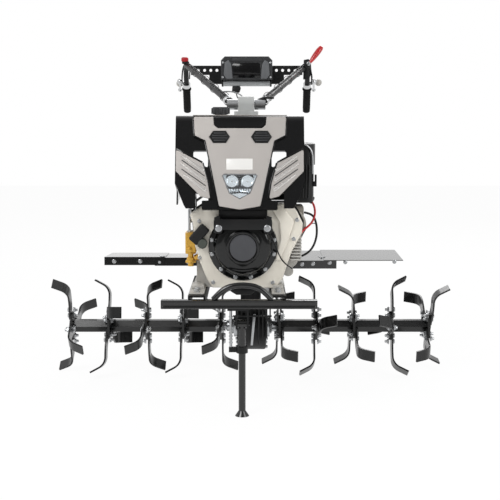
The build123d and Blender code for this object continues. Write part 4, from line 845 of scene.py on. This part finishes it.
finished(bar, "chassis", "black_paint", fender_gloss, "bumper_bar", round_mm=1.5)

# Hub flanges on the rotor shaft are turned steel with bright zinc. A flat steel strip stands on
# the final drive's front, beside cast ribs, and flange bolts close the case and its lid.
AXLE_Z = 176.03
hubs = [moved(turned([(29, 0), (29, 6), (22, 8), (20, 24), (18, 26)], "hub", 40),
              aimed(spot(x, 0, AXLE_Z), (x, 0, 0))) for x in (-58.3, 70.3)]
finished(joined(hubs, "hub_flanges"), "rotors", "steel", zinc_steel, round_mm=0.6)
strip = plate_from([(11, 236), (20, 236), (10, 124), (2, 124)], -91, 3, "case_strip")
finished(strip, "chassis", "steel", zinc_steel, round_mm=0.6)
fins = [cast_block(x, x + 5, -95, -86, low, 262, "case_fin")
        for x, low in ((28, 128), (42, 138), (56, 150), (68, 172))]
fins += [cast_block(-60, 76, -94, -86, z, z + 6, "case_fin") for z in (262, 226)]
finished(joined(fins, "case_fins"), "chassis", "cast_grey", cast_iron, round_mm=1.5)
CASE_BOLT_CIRCLE = 76
case_bolts = [(spot(x, CASE_BOLT_CIRCLE * math.sin(math.radians(turn)),
                    176 + CASE_BOLT_CIRCLE * math.cos(math.radians(turn))), (x, 0, 0))
              for x in (-45, 57) for turn in range(20, 380, 45)]
placed(small_bolt, case_bolts, "case_bolts", "chassis", "steel", zinc_steel)
lid_bolts = [(spot(x, y, 612), (0, 0, 1)) for x in (-72, 74) for y in (-78, -20, 60, 140)]
placed(wide_bolt, lid_bolts, "lid_bolts", "chassis", "steel", zinc_steel)

# A pressed swelling stiffens the shroud's right shoulder. The pump's fittings are hexagons of
# yellow passivated steel, screwed to its body, with an angled outlet and two zinc plated collars.
swell = plate_from([(58, 650), (94, 650), (140, 598), (122, 540), (94, 470), (80, 470), (96, 540), (92, 592)],
                   -398, 10, "shoulder_swelling")
finished(swell, "chassis", "cream_paint", cream_enamel, round_mm=6.0, steps=4)
fittings = [moved(turned([(17.5, 0), (19.5, 1.5), (19.5, high - 1.5), (17.5, high)], "pump_fitting", 6),
                  aimed(spot(-190, -346, z), (0, 0, 1))) for z, high in ((520, 9), (487, 12), (458, 8))]
fittings.append(moved(turned([(10, 0), (10, 10), (14, 11), (14, 22), (11, 24)], "pump_fitting", 6),
                      aimed(spot(-176, -352, 474), (1, -0.3, 0.35))))
fittings.append(moved(turned([(9, 0), (9, 7), (6, 9), (6, 14)], "pump_fitting", 6),
                      aimed(spot(-192, -371, 503), FRONT)))
finished(joined(fittings, "pump_fittings"), "chassis", "brass", yellow_zinc, round_mm=0.6)
collars = [moved(turned([(11, 0), (11, 5), (9, 7)], "pump_collar", 16), aimed(spot(-190, -346, z), (0, 0, 1)))
           for z in (532, 556)]
finished(joined(collars, "pump_collars"), "chassis", "steel", zinc_steel, round_mm=0.5)

# Wiring on the right: a red battery lead loops from its black boot to the regulator, and a
# black breather hose and a thin wire hang beside the regulator. All are PVC on copper or rubber.
red_pvc = coated("red_pvc_jacket", "B01A1E", "9A181B", 0.42, 1.0, 0.03, gloss=0.35)
lead = wire([(168, -250, 668), (182, -262, 664), (208, -268, 642), (214, -274, 610), (204, -292, 584),
             (186, -322, 570), (168, -338, 560), (157, -344, 545)], 3.4, "battery_lead")
finished(lead, "chassis", "black_plastic", red_pvc)
boot = moved(turned([(5, -11), (8, -9), (8, 8), (6, 13)], "lead_boot", 16),
             aimed(spot(200, -266, 652), (0.5, 0, 1)))
finished(boot, "chassis", "black_plastic", black_pp, round_mm=1.0)
hose = wire([(177, -262, 611), (200, -262, 607), (214, -262, 590), (221, -260, 556), (218, -256, 520),
             (204, -250, 486), (176, -246, 464), (150, -244, 458)], 3.6, "breather_hose")
finished(hose, "chassis", "rubber", cable_black)
thin = wire([(164, -345, 538), (176, -330, 560), (192, -300, 574), (210, -270, 578), (216, -262, 572)], 1.4,
            "sensor_wire")
finished(thin, "chassis", "black_plastic", cable_black)

# Small zinc plated hexagon bolts and wing nuts hold the fenders to their bars, a bright rolled
# wire edges the muffler's shield, and a pressed lid closes the air cleaner's can.
LIP_MIDDLE = 0.013
fender_bolts = []
for node, places in (("fender_left_inner", (-313, -214)), ("fender_right_inner", (180, 218, 276)),
                     ("fender_left_outer", (-470, -380)), ("fender_right_outer", (330, 500))):
    low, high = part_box(node)
    for x in places:
        share = (x / 1000 - low.x) / (high.x - low.x)
        rise = (high.z - low.z - 2 * LIP_MIDDLE) * share * (0.4 if "left" in node else 1)
        fender_bolts.append((Vector((x / 1000, low.y + 0.001, low.z + LIP_MIDDLE + rise)), FRONT))
placed(small_bolt, fender_bolts, "fender_bolts", "chassis", "steel", zinc_steel)
wing = [turned([(5, 0), (5, 6), (3.5, 8)], "wing_nut", 14)]
for side in (-1, 1):
    ear = turned([(1.6, 0), (5.5, 4), (5.5, 10), (2, 14)], "wing_nut", 12)
    ear.data.transform(Matrix.Diagonal((1, 0.35, 1, 1)))
    wing.append(moved(ear, aimed(Vector((side * 0.003, 0, 0.003)), (side * 1.0, 0, 0.7))))
wing = joined(wing, "wing_nut")
wing_places = [(Vector((x / 1000, axle.y - 0.094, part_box(node)[1].z - drop)), (0, 0, 1))
               for node, x, drop in (("fender_left_inner", -300, 0.003), ("fender_right_inner", 250, 0.003))]
placed(wing, wing_places, "wing_nuts", "chassis", "steel", zinc_steel)
heat_wire = wire([(160, -338, 839), (176, -338, 835), (190, -337, 824), (198, -336, 808), (200, -335, 776),
                  (199, -335, 742)], 3.0, "muffler_edge")
finished(heat_wire, "chassis", "steel", zinc_steel)
heat_ribs = [cast_block(x, x + 4, -333.5, -329, 664, 796, "muffler_rib") for x in (168, 177, 186)]
finished(joined(heat_ribs, "muffler_ribs"), "chassis", "black_paint", black_enamel, round_mm=1.5, steps=2)
bracket = plate_from([(203, 700), (214, 700), (214, 738), (208, 738), (208, 716), (203, 716)], -318, 14,
                     "muffler_bracket")
finished(bracket, "chassis", "black_paint", black_steel, round_mm=1.0)
lid = moved(turned([(50, 0), (53.5, 1), (53.5, 7), (50, 9), (20, 10), (8, 11)], "cleaner_lid", 48),
            aimed(spot(128, -315, 577), FRONT))
finished(lid, "chassis", "black_plastic", warm_grey, round_mm=0.8)

for spare in (small_bolt, wide_bolt, pan_screw, wing, rim_bolt):
    bpy.data.objects.remove(spare)

low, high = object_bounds()
